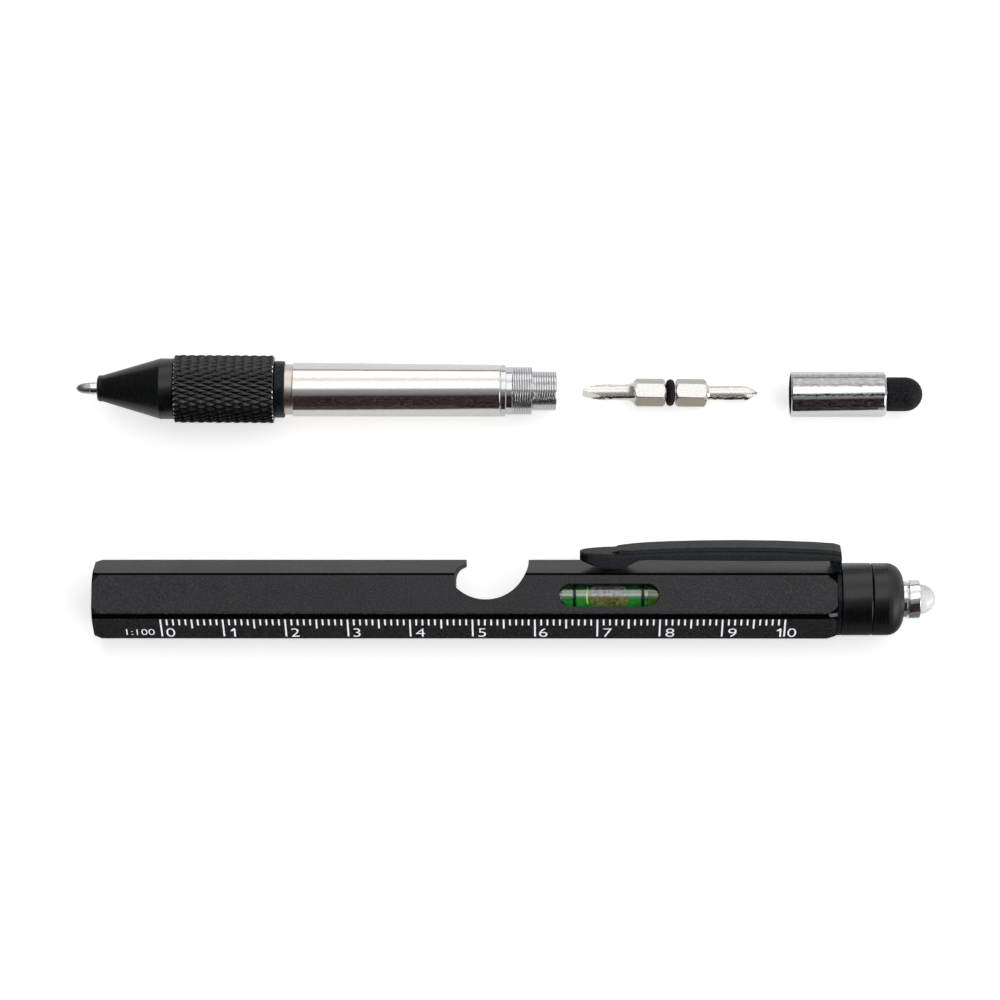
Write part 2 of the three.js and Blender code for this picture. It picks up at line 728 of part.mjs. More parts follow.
function batteryCell(index) {
  const end = batteryEnd - index * (cellThickness + stackFit);
  const start = end - cellThickness;
  return turned([
    [start, 0], [start, cellPoleRadius], [start + cellStep, cellPoleRadius], [start + cellStep, cellRadius],
    [end, cellRadius], [end, 0],
  ], smallSides);
}

// Insert
function writingBall() {
  return turned(arc(ballRadius, 0, ballRadius, ballRadius, Math.PI, 0, tinySides / 2), tinySides);
}

function refillTip() {
  const seat = ballRadius + ballFit;
  const coneEnd = ballShow + tipConeLength;
  return turned([
    ...arc(ballRadius, 0, seat, seat, 0, Math.PI / 2), [ballShow, seat],
    ...arc(coneEnd, tipLipRadius, tipConeLength, tipRadius - tipLipRadius, Math.PI, Math.PI / 2),
    [tipLength, tipRadius], [tipLength, tipShankRadius],
    [tipLength + tipShankLength, tipShankRadius], [tipLength + tipShankLength, 0],
  ], tinySides);
}

const refillStart = tipLength + seatFit;
const refillBoreRadius = refillRadius - refillWall;
const inkStart = tipLength + tipShankLength + seatFit;

function refillTube() {
  return turnedRing([[refillStart, refillRadius], [refillEnd, refillRadius]],
    [[refillStart, refillBoreRadius], [refillEnd, refillBoreRadius]], tinySides);
}

function noseCone() {
  const tipHole = tipRadius + runningFit;
  const refillHole = refillRadius + runningFit;
  const front = arc(noseStart + noseFrontRound, noseFrontRadius - noseFrontRound,
    noseFrontRound, noseFrontRound, Math.PI, Math.PI / 2);
  return turnedRing([
    ...front, [coneStart, noseFrontRadius], [noseBandStart, noseConeRadius], [noseBandStart, noseBandRadius],
    [noseEnd, noseBandRadius], [noseEnd, noseSpigotRadius], [noseEnd + noseSpigotLength, noseSpigotRadius],
  ], [
    [noseStart, tipHole], [noseStart + noseWall, tipHole], [noseStart + noseWall, refillHole],
    [noseEnd + noseSpigotLength, refillHole],
  ]);
}

// The knurl: rows of pyramids, each crest between four crossing grooves.
function gripSleeve() {
  const around = gripDiamondsAround * 2;
  const rows = gripDiamondsAlong * 2;
  const knurlStart = gripStart + gripEndChamfer;
  const knurlLength = gripLength - 2 * gripEndChamfer;
  const rootRadius = gripRadius - gripRelief;
  const bore = neckRadius + runningFit;
  const positions = [];
  const faces = [];
  const ring = (along, radiusAt) => {
    const first = positions.length / 3;
    for (let i = 0; i < around; i += 1) {
      const angle = i / around * 2 * Math.PI - Math.PI / 2;
      const radius = radiusAt(i);
      positions.push(along, radius * Math.cos(angle), radius * Math.sin(angle));
    }
    return first;
  };
  const rings = [];
  rings.push(ring(gripStart, () => bore));
  rings.push(ring(gripStart, () => rootRadius - gripEndChamfer / 2));
  const knurlFirst = rings.length;
  for (let row = 0; row <= rows; row += 1) {
    rings.push(ring(knurlStart + knurlLength * row / rows,
      (i) => ((i + row) % 2 === 0 ? gripRadius : rootRadius)));
  }
  const knurlLast = rings.length - 1;
  rings.push(ring(gripEnd, () => rootRadius - gripEndChamfer / 2));
  rings.push(ring(gripEnd, () => collarRadius));
  rings.push(ring(collarEnd, () => collarRadius));
  rings.push(ring(collarEnd, () => bore));
  for (let r = 0; r < rings.length; r += 1) {
    const upper = rings[(r + 1) % rings.length];
    const lower = rings[r];
    const inKnurl = r >= knurlFirst && r < knurlLast;
    for (let i = 0; i < around; i += 1) {
      const next = (i + 1) % around;
      const [a, b, c, d] = [lower + i, lower + next, upper + i, upper + next];
      const crestFirst = (i + r - knurlFirst) % 2 === 0;
      if (inKnurl && crestFirst) {
        faces.push(a, b, c, b, d, c);
      } else {
        faces.push(a, b, d, a, d, c);
      }
    }
  }
  const geometry = new THREE.BufferGeometry();
  geometry.setAttribute('position', new THREE.Float32BufferAttribute(positions, 3));
  geometry.setIndex(faces);
  return geometry;
}

function handleTube() {
  return turnedRing([
    [handleStart, neckRadius], [neckEnd, neckRadius], [neckEnd, handleRadius], [handleEnd, handleTailRadius],
  ], [
    [handleStart, handleBoreRadius], [handleEnd - holderSeatLength, handleBoreRadius],
    [handleEnd - holderSeatLength, holderSeatRadius], [handleEnd, holderSeatRadius],
  ]);
}

function bitHolder() {
  const shank = holderSeatRadius - runningFit;
  const body = solid(turned([
    [holderShankStart, 0], [holderShankStart, shank], [holderStart, shank],
    [holderStart, handleTailRadius], [holderRingEnd, handleTailRadius], [holderRingEnd, holderNeckRadius],
    [largeThreadStart, holderNeckRadius], [largeThreadStart + threadChamfer, largeThreadRadius],
    [largeThreadEnd - threadChamfer, largeThreadRadius], [largeThreadEnd, largeThreadRadius - threadChamfer],
    [largeThreadEnd, smallThreadRadius], [insertEnd - threadChamfer, smallThreadRadius],
    [insertEnd, smallThreadRadius - threadChamfer], [insertEnd, 0],
  ]));
  const opening = hexagon(bitAcrossFlats + 2 * bitSocketFit, 0);
  return body.subtract(solid(prismAlongX(opening, socketFloor, insertEnd + overrun)));
}

// Driver bit, from its blade to its cross point
function driverBit() {
  const stock = solid(prismAlongX(hexagon(bitAcrossFlats, 0), 0, bitLength));
  const bladeSweep = arc(shoulderStart, bitFacet, bladeShoulder - bitHexChamfer, bitFacet - bladeShaftRadius,
    -Math.PI / 2, 0);
  const crossSweep = arc(crossShaftStart, bitFacet, crossShoulder - bitHexChamfer,
    bitFacet - crossShaftRadius, Math.PI, Math.PI * 1.5);
  const envelope = solid(turned([
    [0, 0], [0, bladeShaftRadius], ...bladeSweep, [hexStart, bitCorner],
    [grooveStart - bitHexChamfer, bitCorner], [grooveStart, bitFacet], [grooveStart, bitGrooveRadius],
    [grooveEnd, bitGrooveRadius], [grooveEnd, bitFacet], [grooveEnd + bitHexChamfer, bitCorner],
    [hexEnd, bitCorner], ...crossSweep,
    [crossPointStart, crossShaftRadius], [bitLength, crossPointRadius], [bitLength, 0],
  ], smallSides));
  let bit = stock.intersect(envelope);
  for (const side of [-1, 1]) {
    bit = bit.subtract(bladeFlat(side));
  }
  for (let flute = 0; flute < 4; flute += 1) {
    bit = bit.subtract(crossFlute(flute));
  }
  return bit;
}

// The wedge ground away on one side of the flat blade.
function bladeFlat(side) {
  const outline = new THREE.Shape();
  outline.moveTo(-overrun, side * bladeThickness / 2);
  outline.lineTo(0, side * bladeThickness / 2);
  outline.lineTo(bladeLength, side * bladeShaftRadius);
  outline.lineTo(bladeLength, side * (bladeShaftRadius + overrun));
  outline.lineTo(-overrun, side * (bladeShaftRadius + overrun));
  outline.closePath();
  const wedge = prismUp(outline, -bladeShaftRadius - overrun, bladeShaftRadius + overrun);
  return solid(wedge.rotateX(THREE.MathUtils.degToRad(-bladeTurn)));
}

// One of the four grooves between the wings of the cross point.
function crossFlute(index) {
  const runOut = crossPointStart - crossPointLength / 2;
  const outline = new THREE.Shape();
  outline.moveTo(runOut, crossShaftRadius + crossFluteWidth);
  outline.lineTo(runOut, crossShaftRadius);
  outline.lineTo(bitLength + overrun, crossWebThickness / 2);
  outline.lineTo(bitLength + overrun, crossShaftRadius + crossFluteWidth);
  outline.closePath();
  const wedge = prismUp(outline, crossWebThickness / 2, crossShaftRadius + overrun);
  return solid(wedge.rotateX(index * Math.PI / 2));
}

function bitRing() {
  const profile = arc(ringCentre, bitGrooveRadius + ringStretch + ringCordRadius,
    ringCordRadius, ringCordRadius, 0, Math.PI * 2, cordSides);
  return turned(profile.reverse(), smallSides);
}

// Stylus cap, from its mouth to the rubber tip
function stylusSleeve() {
  const boreRadius = smallThreadRadius + threadFit;
  const stud = sleeveLength + studLength;
  return turned([
    [sleeveLength - sleeveEndWall, 0], [sleeveLength - sleeveEndWall, boreRadius], [0, boreRadius],
    [0, sleeveRadius - sleeveMouthRound], [sleeveMouthRound, sleeveRadius],
    ...arc(sleeveLength - sleeveEndRound, sleeveRadius - sleeveEndRound, sleeveEndRound, sleeveEndRound,
      Math.PI / 2, 0),
    [sleeveLength, studRadius], [stud, studRadius], [stud, 0],
  ]);
}

function stylusTip() {
  const socket = studRadius + runningFit;
  const start = sleeveLength + seatFit;
  const socketEnd = sleeveLength + studLength + seatFit;
  const domeStart = sleeveLength + rubberReach - rubberRadius;
  return turned([
    [socketEnd, 0], [socketEnd, socket], [start, socket], [start, rubberRadius],
    ...arc(domeStart, 0, rubberRadius, rubberRadius, Math.PI / 2, 0, roundSteps + 2),
  ]);
}

// Everything at rest on the table, about the middle of its outline
const pen = new THREE.Group();
const totalLength = tipLead + lampEnd;
const frontEdge = rowSpacing + gripRadius - barrelCorner;
const barrelRow = -frontEdge / 2;
const insertRow = barrelRow + rowSpacing;

// The head is a little thicker than the barrel, so the barrel leans on it.
const barrelLean = Math.atan(Math.max(0, headRadius - facet) / headStart);
const barrelGroup = new THREE.Group();
barrelGroup.position.set(tipLead - totalLength / 2, barrelRow, facet * Math.cos(barrelLean));
barrelGroup.rotation.y = -barrelLean;
barrelGroup.add(
  cutPiece('barrel_tube', barrelTube(), 'anodised'),
  piece('thread_bush', threadBush(), 'brass'),
  piece('clip_ring', clipRing(), 'blackCoat'),
  piece('head_sleeve', headSleeve(), 'blackCoat'),
  piece('head_cap', headCap(), 'blackCoat'),
  piece('push_button', pushButton(), 'chrome'),
  cutPiece('led_bulb', ledBulb(), 'clear'),
  cutPiece('contact_board', contactBoard(), 'board'),
  piece('battery_spring', coil(batterySpringStart, batterySpringStart + batterySpringLength,
    batterySpringRadius, batterySpringRadius, batterySpringWire, batterySpringTurns), 'steel'),
  piece('button_spring', coil(boardEnd + stackFit, flangeStart - stackFit,
    buttonSpringRadius, buttonSpringRadius, buttonSpringWire, buttonSpringTurns), 'steel'),
);
for (let cell = 0; cell < cellCount; cell += 1) {
  barrelGroup.add(piece(`battery_cell_${cell + 1}`, batteryCell(cell), 'nickel'));
}

const levelGroup = new THREE.Group();
levelGroup.position.set(levelCentreAlong, 0, vialHeight);
levelGroup.add(
  piece('vial_tube', vialTube(), 'clear'),
  piece('vial_plug', vialPlug(), 'clear'),
  cutPiece('vial_liquid', vialLiquid(), 'levelGreen'),
  cutPiece('level_bubble', levelBubble(), 'bubble'),
);

// The clip stands on the upper facet beside the insert.
const clipGroup = new THREE.Group();
clipGroup.rotation.x = -Math.PI / 3;
clipGroup.add(cutPiece('clip_arm', clipArm(), 'blackCoat'));
barrelGroup.add(levelGroup, clipGroup);

// The insert rests on the back of its grip and on the ring at the end of its handle.
const gripRest = gripEnd - gripEndChamfer;
const insertLean = Math.atan((gripRadius - handleTailRadius) / (holderRingEnd - gripRest));
const insertGroup = new THREE.Group();
insertGroup.position.set(-totalLength / 2, insertRow,
  gripRest * Math.sin(insertLean) + gripRadius * Math.cos(insertLean));
insertGroup.rotation.y = insertLean;
insertGroup.add(
  piece('writing_ball', writingBall(), 'steel'),
  piece('refill_tip', refillTip(), 'steel'),
  piece('refill_tube', refillTube(), 'clear'),
  piece('ink_column', rod(inkStart, inkStart + inkLength, inkRadius, tinySides), 'ink'),
  piece('nose_cone', noseCone(), 'anodised'),
  piece('grip_sleeve', gripSleeve(), 'blackCoat'),
  piece('handle_tube', handleTube(), 'steel'),
  cutPiece('bit_holder', bitHolder(), 'chrome'),
);

// The bit leans over its rubber ring onto the far end of its hexagon.
const bitFacetEnd = hexEnd + bitHexChamfer;
const bitLean = Math.atan(Math.max(0, ringRadius - bitFacet) / (bitFacetEnd - ringCentre));
const bitBlade = insertEnd * Math.cos(insertLean) + bitSpace - totalLength / 2;
const bitGroup = new THREE.Group();
bitGroup.position.set(bitBlade, insertRow, bitFacetEnd * Math.sin(bitLean) + bitFacet * Math.cos(bitLean));
bitGroup.rotation.y = bitLean;
bitGroup.add(
  cutPiece('driver_bit', driverBit(), 'nickel'),
  piece('bit_o_ring', bitRing(), 'rubber'),
);

const capGroup = new THREE.Group();
const capMouth = bitBlade + bitLength * Math.cos(bitLean) + capSpace;
capGroup.position.set(capMouth, insertRow - capAside, sleeveRadius);
capGroup.add(
  piece('stylus_sleeve', stylusSleeve(), 'chrome'),
  piece('stylus_tip', stylusTip(), 'rubber'),
);

pen.add(barrelGroup, insertGroup, bitGroup, capGroup);

export default pen;
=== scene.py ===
"""Multi tool pen, laid out on a white table: finishes, small parts, light and camera.

Metres. +X runs from the writing tip to the lamp, +Y from the barrel to the insert, +Z is up.
"""
import json
import math
import random

import bmesh
import bpy
from bpy.props import FloatProperty, FloatVectorProperty, IntProperty, PointerProperty
from mathutils import Matrix, Vector


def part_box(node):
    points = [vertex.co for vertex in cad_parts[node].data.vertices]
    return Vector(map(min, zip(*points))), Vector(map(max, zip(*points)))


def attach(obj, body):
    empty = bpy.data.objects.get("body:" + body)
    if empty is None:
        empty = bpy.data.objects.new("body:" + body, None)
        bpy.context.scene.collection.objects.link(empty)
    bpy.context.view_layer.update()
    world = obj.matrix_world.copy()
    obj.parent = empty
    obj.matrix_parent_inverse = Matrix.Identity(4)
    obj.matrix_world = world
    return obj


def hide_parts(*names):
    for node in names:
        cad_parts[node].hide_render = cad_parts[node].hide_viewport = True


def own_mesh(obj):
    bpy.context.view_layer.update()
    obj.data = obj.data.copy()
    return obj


bl_info = {
    "name": "Multi Tool Pen",
    "version": (1, 0, 0),
    "blender": (4, 5, 0),
    "location": "View3D > Sidebar > Pen",
    "description": "Finishes, print, knurl, threads, level and studio for the multi tool pen",
    "category": "Object",
}

MM = 0.001
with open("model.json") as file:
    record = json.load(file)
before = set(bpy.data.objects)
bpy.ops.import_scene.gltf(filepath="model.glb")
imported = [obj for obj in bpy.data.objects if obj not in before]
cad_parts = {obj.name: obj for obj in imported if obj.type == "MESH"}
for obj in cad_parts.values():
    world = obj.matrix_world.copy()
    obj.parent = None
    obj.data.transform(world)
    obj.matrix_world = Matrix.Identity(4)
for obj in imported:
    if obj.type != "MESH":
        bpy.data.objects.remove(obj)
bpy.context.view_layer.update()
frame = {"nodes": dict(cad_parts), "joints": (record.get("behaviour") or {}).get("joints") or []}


def linear(code):
    """An sRGB hex colour as a linear one."""
    channels = [int(code[i:i + 2], 16) / 255 for i in (0, 2, 4)]
    return tuple(c / 12.92 if c <= 0.04045 else ((c + 0.055) / 1.055) ** 2.4 for c in channels) + (1.0,)


def size(name, description, millimetres):
    """A length that a user may change."""
    return FloatProperty(name=name, description=description, default=millimetres * MM,
                         unit="LENGTH", precision=5)


def colour(name, description, code):
    """A colour that a user may change."""
    return FloatVectorProperty(name=name, description=description, default=linear(code),
                               size=4, subtype="COLOR", min=0.0, max=1.0)


# Places along the barrel from its mouth, and along the insert from its ball
HEAD_SEAM_ALONG = 125.08 * MM
CHAMFER_ALONG = 117.88 * MM
LEVEL_ALONG = 82.816 * MM
NOSE_END_ALONG = 15.85 * MM
# Heights over the barrel's axis, of its flats and of the level's
BARREL_FACET = 5.675 * MM
LEVEL_HEIGHT = 3.775 * MM
CHAMFER_SLOPE = math.radians(16.9)
PRINT_THICKNESS = 0.012 * MM
CORNER_GAP = 0.0005 * MM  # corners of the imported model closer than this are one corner


def joint(name):
    """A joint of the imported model."""
    return next(j for j in frame["joints"] if j["name"] == name)


def axes_at(point, along):
    """A place whose X runs along the given direction and whose Y stays level."""
    x = Vector(along).normalized()
    y = Vector((0, 1, 0))
    place = Matrix((x, y, x.cross(y))).transposed().to_4x4()
    place.translation = point
    return place


def barrel_axes():
    """The barrel's own axes, from the middle of its mouth."""
    seam = joint("cap_unscrew")
    x = Vector(seam["axis"]).normalized()
    return axes_at(Vector(seam["pos_m"]) - x * HEAD_SEAM_ALONG, x)


def insert_axes():
    """The insert's own axes, from the front of its writing ball."""
    nose = joint("nose_unscrew")
    x = -Vector(nose["axis"]).normalized()
    return axes_at(Vector(nose["pos_m"]) - x * NOSE_END_ALONG, x)


def facet_axes(degrees):
    """Axes on one of the barrel's flats: Y runs up across the flat and Z stands out of it."""
    turn = Matrix.Rotation(math.radians(degrees), 4, "X")
    return barrel_axes() @ turn @ Matrix.Translation((0, 0, BARREL_FACET))


class StudioSettings(bpy.types.PropertyGroup):
    """Light, floor and camera."""
    camera_place: FloatVectorProperty(name="Camera place", description="Where the camera stands",
                                      default=(6.85 * MM, -80.7 * MM, 562.0 * MM), subtype="TRANSLATION")
    camera_aim: FloatVectorProperty(name="Camera aim", description="The point that the camera looks at",
                                    default=(-0.65 * MM, 0.21 * MM, 0.0), subtype="TRANSLATION")
    camera_lens: FloatProperty(name="Lens", description="Focal length on a 36 mm sensor",
                               default=124.9, unit="CAMERA")
    softbox_level: FloatProperty(name="Softbox", description="Brightness of the overhead softbox",
                                 default=1.5, min=0.0)
    fill_level: FloatProperty(name="Fill", description="Strength of the low fill from the near side",
                              default=1.6, min=0.0)
    floor_size: size("Floor", "Side of the square floor", 3000.0)


class FinishSettings(bpy.types.PropertyGroup):
    """Colours of the metals, coatings and rubber."""
    barrel: colour("Barrel", "Dyed anodising of the hexagonal barrel", "09090A")
    head: colour("Head", "Dyed anodising of the lamp head", "050506")
    nose: colour("Nose", "Dyed anodising of the nose cone", "040505")
    clip: colour("Clip", "Black oxide of the clip and grip", "06090B")
    stainless: colour("Handle", "Turned stainless steel of the handle", "E3E1DD")
    chrome: colour("Chrome", "Chrome plate of the stylus cap, button and holder", "E3E4E5")
    nickel: colour("Driver bit", "Nickel plate of the driver bit", "DEDAD4")
    rubber: colour("Rubber", "Rubber of the stylus tip and the ring", "06070A")
    edge_width: size("Edge break", "Width of the broken edges of turned parts", 0.12)


class RulerSettings(bpy.types.PropertyGroup):
    """Centimetre scale printed on the barrel's lower front flat."""
    start: size("Zero", "Place of the zero mark, from the barrel's mouth", 10.98)
    top: size("Top of the marks", "Upper end of the marks, above the middle of the flat", 2.15)
    mark_width: size("Mark width", "Width of a mark", 0.27)
    millimetre_length: size("Millimetre mark", "Length of a millimetre mark", 1.55)
    half_length: size("Half mark", "Length of a five-millimetre mark", 2.4)
    centimetre_length: size("Centimetre mark", "Length of a centimetre mark", 4.55)
    number_height: size("Numbers", "Height of the numbers", 2.25)
    number_space: size("Number space", "From the zero mark to its number", 0.73)
    number_drift: size("Number drift", "How much further each next number stands from its mark", 0.03)
    one_space: size("Space of the one", "From a centimetre mark to the figure 1, which has a flag", 1.15)
    six_shift: size("Shift of the six", "How far the figure 6 stands off its regular place", -0.24)
    ten_space: size("Space of the ten", "From the last mark to each of its two figures", 0.5)
    ink: colour("Print", "White pad print", "EEF1F8")


class LevelSettings(bpy.types.PropertyGroup):
    """Spirit level in the barrel's top flat."""
    liquid: colour("Liquid", "Dyed alcohol in the vial", "1C7A26")
    plug: colour("Plug", "Dyed acrylic plug of the vial", "2E5216")
    line_width: size("Line width", "Width of the two lines round the vial", 0.5)
    left_line: size("Left line", "From the middle of the vial", -5.5)
    right_line: size("Right line", "From the middle of the vial", 5.4)


class GripSettings(bpy.types.PropertyGroup):
    """Knurled grip of the insert."""
    diamonds_around: IntProperty(name="Diamonds around", description="Diamonds round the grip",
                                 default=38, min=8)
    diamond_length: size("Diamond length", "Length of a diamond along the grip", 2.9)
    depth: size("Depth", "Depth of the knurl's grooves", 0.27)
    chamfer: size("End chamfer", "Chamfer on both ends of the knurl", 0.2)


class ThreadSettings(bpy.types.PropertyGroup):
    """Threads of the bit holder."""
    pitch: size("Pitch", "Distance between two crests", 0.4)
    depth: size("Depth", "Height of a crest over its root", 0.2)


class PenSettings(bpy.types.PropertyGroup):
    """All that can be changed on the pen."""
    studio: PointerProperty(type=StudioSettings)
    finish: PointerProperty(type=FinishSettings)
    ruler: PointerProperty(type=RulerSettings)
    level: PointerProperty(type=LevelSettings)
    grip: PointerProperty(type=GripSettings)
    thread: PointerProperty(type=ThreadSettings)


def add_node(tree, kind, inputs=None, **settings):
    """Adds a node, applies its settings, and fills each input with a value or a link."""
    node = tree.nodes.new(kind)
    for name, value in settings.items():
        setattr(node, name, value)
    for name, value in (inputs or {}).items():
        if isinstance(value, bpy.types.NodeSocket):
            tree.links.new(value, node.inputs[name])
        else:
            node.inputs[name].default_value = value
    return node


def new_material(name):
    """A material with an empty node tree."""
    material = bpy.data.materials.new(name)
    material.use_nodes = True
    material.node_tree.nodes.clear()
    return material, material.node_tree


def with_surface(material, values):
    """Ends a material in one surface, whose colour, gloss and relief are values or patterns."""
    tree = material.node_tree
    surface = add_node(tree, "ShaderNodeBsdfPrincipled", values)
    add_node(tree, "ShaderNodeOutputMaterial", {"Surface": surface.outputs["BSDF"]})
    return material


def grain(tree, millimetres, stretch=1.0):
    """Noise whose spots have a real size, from 0 to 1, and are longer along X where stretched."""
    place = add_node(tree, "ShaderNodeTexCoord")
    drawn = add_node(tree, "ShaderNodeVectorMath", {
        0: place.outputs["Object"], 1: (1 / stretch, 1.0, 1.0),
    }, operation="MULTIPLY")
    return add_node(tree, "ShaderNodeTexNoise", {
        "Vector": drawn.outputs["Vector"], "Scale": 1 / (millimetres * MM), "Detail": 2.0,
    }).outputs["Fac"]


def turning_marks(tree, millimetres):
    """Fine rings left by a lathe tool, whose spacing has a real size."""
    place = add_node(tree, "ShaderNodeTexCoord")
    parts = add_node(tree, "ShaderNodeSeparateXYZ", {"Vector": place.outputs["Object"]})
    return add_node(tree, "ShaderNodeTexNoise", {
        "W": parts.outputs["X"], "Scale": 1 / (millimetres * MM), "Detail": 3.0,
    }, noise_dimensions="1D").outputs["Fac"]


def along_axis(tree, axis, origin):
    """How far a point of the object lies from an origin, in one direction."""
    place = add_node(tree, "ShaderNodeTexCoord")
    reach = add_node(tree, "ShaderNodeVectorMath", {0: place.outputs["Object"], 1: tuple(axis)},
                     operation="DOT_PRODUCT")
    return add_node(tree, "ShaderNodeMath", {0: reach.outputs["Value"], 1: axis.dot(origin)},
                    operation="SUBTRACT").outputs["Value"]


def spread(tree, value, low, high, start=0.25, end=0.75):
    """A number from low to high, as a value goes from start to end, by default those of noise."""
    return add_node(tree, "ShaderNodeMapRange", {
        "Value": value, "From Min": start, "From Max": end, "To Min": low, "To Max": high,
    }).outputs["Result"]


def shades(tree, value, dark, light, start=0.25, end=0.75):
    """A colour from dark to light, as a value goes from start to end."""
    return add_node(tree, "ShaderNodeMix", {
        "Factor": spread(tree, value, 0.0, 1.0, start, end), "A": dark, "B": light,
    }, data_type="RGBA").outputs["Result"]


def specks(tree, value, dark, light):
    """Sparse light specks of a pattern on a dark ground."""
    return shades(tree, value, dark, light, 0.46, 0.72)


def band(tree, value, low, high, blur):
    """1 where a value lies between two limits, with soft ends."""
    return add_node(tree, "ShaderNodeMath", {
        0: spread(tree, value, 0.0, 1.0, low - blur, low + blur),
        1: spread(tree, value, 0.0, 1.0, high + blur, high - blur),
    }, operation="MULTIPLY").outputs["Value"]


def relief(tree, *layers):
    """Bumps on top of each other, each a pattern, a strength and a depth in millimetres."""
    below = {}
    for pattern, strength, depth in layers:
        bump = add_node(tree, "ShaderNodeBump", {
            "Height": pattern, "Strength": strength, "Distance": depth * MM, **below,
        })
        below = {"Normal": bump.outputs["Normal"]}
    return below["Normal"]


def tinted(rgba, factor):
    """A colour made darker or lighter."""
    return tuple(min(1.0, c * factor) for c in rgba[:3]) + (1.0,)


def anodised_aluminium(name, dye, roughness=(0.24, 0.32), ior=1.4):
    """Bead-blasted, dyed and sealed: a dark clear oxide over metal, with an even grain. The real grain
    is under 0.1 mm and is drawn coarser, so that it shows."""
    material, tree = new_material(name)
    fine = grain(tree, 0.22)
    return with_surface(material, {
        "Base Color": specks(tree, fine, tinted(dye, 0.55), tinted(dye, 12.5)),
        "IOR": ior,
        "Roughness": spread(tree, grain(tree, 6.0), *roughness),
        "Normal": relief(tree, (fine, 0.5, 0.02)),
    })


def with_milled_corners(material, place):
    """Painted dark reflections on the corners beside the top flat: bands there drawn black, with almost
    no shine.
    """
    tree = material.node_tree
    blasted, output = (next(n for n in tree.nodes if n.bl_idname == kind)
                       for kind in ("ShaderNodeBsdfPrincipled", "ShaderNodeOutputMaterial"))
    across = along_axis(tree, place.col[1].to_3d(), place.translation)
    height = along_axis(tree, place.col[2].to_3d(), place.translation)
    # limits across the flat of the two bands of painted dark reflection, and the height above which they
    # are drawn
    upper, lower, blur, foot = (3.2 * MM, 3.62 * MM), (-3.76 * MM, -3.07 * MM), 0.04 * MM, 4.5 * MM
    either = add_node(tree, "ShaderNodeMath", {
        0: band(tree, across, *upper, blur), 1: band(tree, across, *lower, blur),
    }, operation="ADD")
    on_top = add_node(tree, "ShaderNodeMath", {0: height, 1: foot}, operation="GREATER_THAN")
    corner = add_node(tree, "ShaderNodeMath", {
        0: either.outputs["Value"], 1: on_top.outputs["Value"],
    }, operation="MULTIPLY")
    # painted dark reflection: a black surface with almost no shine over the corner bands
    black = add_node(tree, "ShaderNodeBsdfPrincipled", {
        "Base Color": (0.0003, 0.0003, 0.0003, 1.0), "IOR": 1.08, "Roughness": 0.5,
    })
    mix = add_node(tree, "ShaderNodeMixShader", {
        "Fac": corner.outputs["Value"], 1: blasted.outputs["BSDF"], 2: black.outputs["BSDF"],
    })
    tree.links.new(mix.outputs["Shader"], output.inputs["Surface"])
    return material


def turned_anodised_aluminium(name, dye, roughness=(0.22, 0.32)):
    """Dyed anodising over a lathe finish: faint rings round the part break up the shine."""
    material, tree = new_material(name)
    rings = turning_marks(tree, 0.22)
    fine = grain(tree, 0.2)
    return with_surface(material, {
        "Base Color": specks(tree, fine, tinted(dye, 0.3), tinted(dye, 7.0)),
        "Roughness": spread(tree, rings, *roughness),
        "Normal": relief(tree, (rings, 0.1, 0.01), (fine, 0.15, 0.01)),
    })


def black_oxide_steel(name, base, roughness=(0.3, 0.42), ior=1.3, ground=0.1, spotted=9.0):
    """Pressed spring steel with a black coat: smooth, with a soft shine and a faint orange peel."""
    material, tree = new_material(name)
    peel = grain(tree, 0.5)
    return with_surface(material, {
        "Base Color": specks(tree, grain(tree, 0.24), tinted(base, ground), tinted(base, spotted)),
        "IOR": ior,
        "Roughness": spread(tree, peel, *roughness),
        "Normal": relief(tree, (peel, 0.12, 0.02)),
    })


def dusty(tree):
    """How metallic a mirror is under specks of dust, which look pale in its dark reflections."""
    return spread(tree, grain(tree, 0.3), 1.0, 0.94, 0.44, 0.66)


def turned_stainless(name, base, roughness=(0.1, 0.2)):
    """Turned and buffed stainless steel: long mirror bands, broken by fine rings and a few dents."""
    material, tree = new_material(name)
    rings = turning_marks(tree, 0.12)
    pores = grain(tree, 0.22, stretch=1.6)
    return with_surface(material, {
        "Base Color": shades(tree, pores, tinted(base, 0.92), tinted(base, 1.08)),
        "Metallic": dusty(tree),
        "Roughness": spread(tree, rings, *roughness),
        "Normal": relief(tree, (rings, 0.1, 0.01), (grain(tree, 1.6), 0.1, 0.02), (pores, 0.12, 0.01)),
    })


def polishing_haze(tree, clean, middle, radius):
    """Painted reflections on a tube that lies along X: a grey, mottled band of painted reflection along
    its side towards +Y, and a brown line of painted dark reflection beside its crown, on the near side.
    Gives the colour and how metallic it is."""
    waves = spread(tree, grain(tree, 0.5), -0.05 * radius, 0.05 * radius)
    across = add_node(tree, "ShaderNodeMath", {
        0: along_axis(tree, Vector((0, 1, 0)), middle), 1: waves,
    }, operation="ADD").outputs["Value"]
    # painted grey reflection, mottled
    dull = shades(tree, grain(tree, 0.4, stretch=2.0), linear("929294"), linear("CACACC"))
    flank = band(tree, across, 0.2 * radius, 0.78 * radius, 0.02 * radius)
    line = band(tree, across, -0.23 * radius, -0.17 * radius, 0.015 * radius)
    with_painted_bands = shades(tree, flank, clean, dull, 0.0, 1.0)
    less_metal_in_band = add_node(tree, "ShaderNodeMath", {0: flank, 1: -0.45, 2: dusty(tree)},
                       operation="MULTIPLY_ADD")
    return shades(tree, line, with_painted_bands, linear("3C2622"), 0.0, 1.0), less_metal_in_band.outputs["Value"]


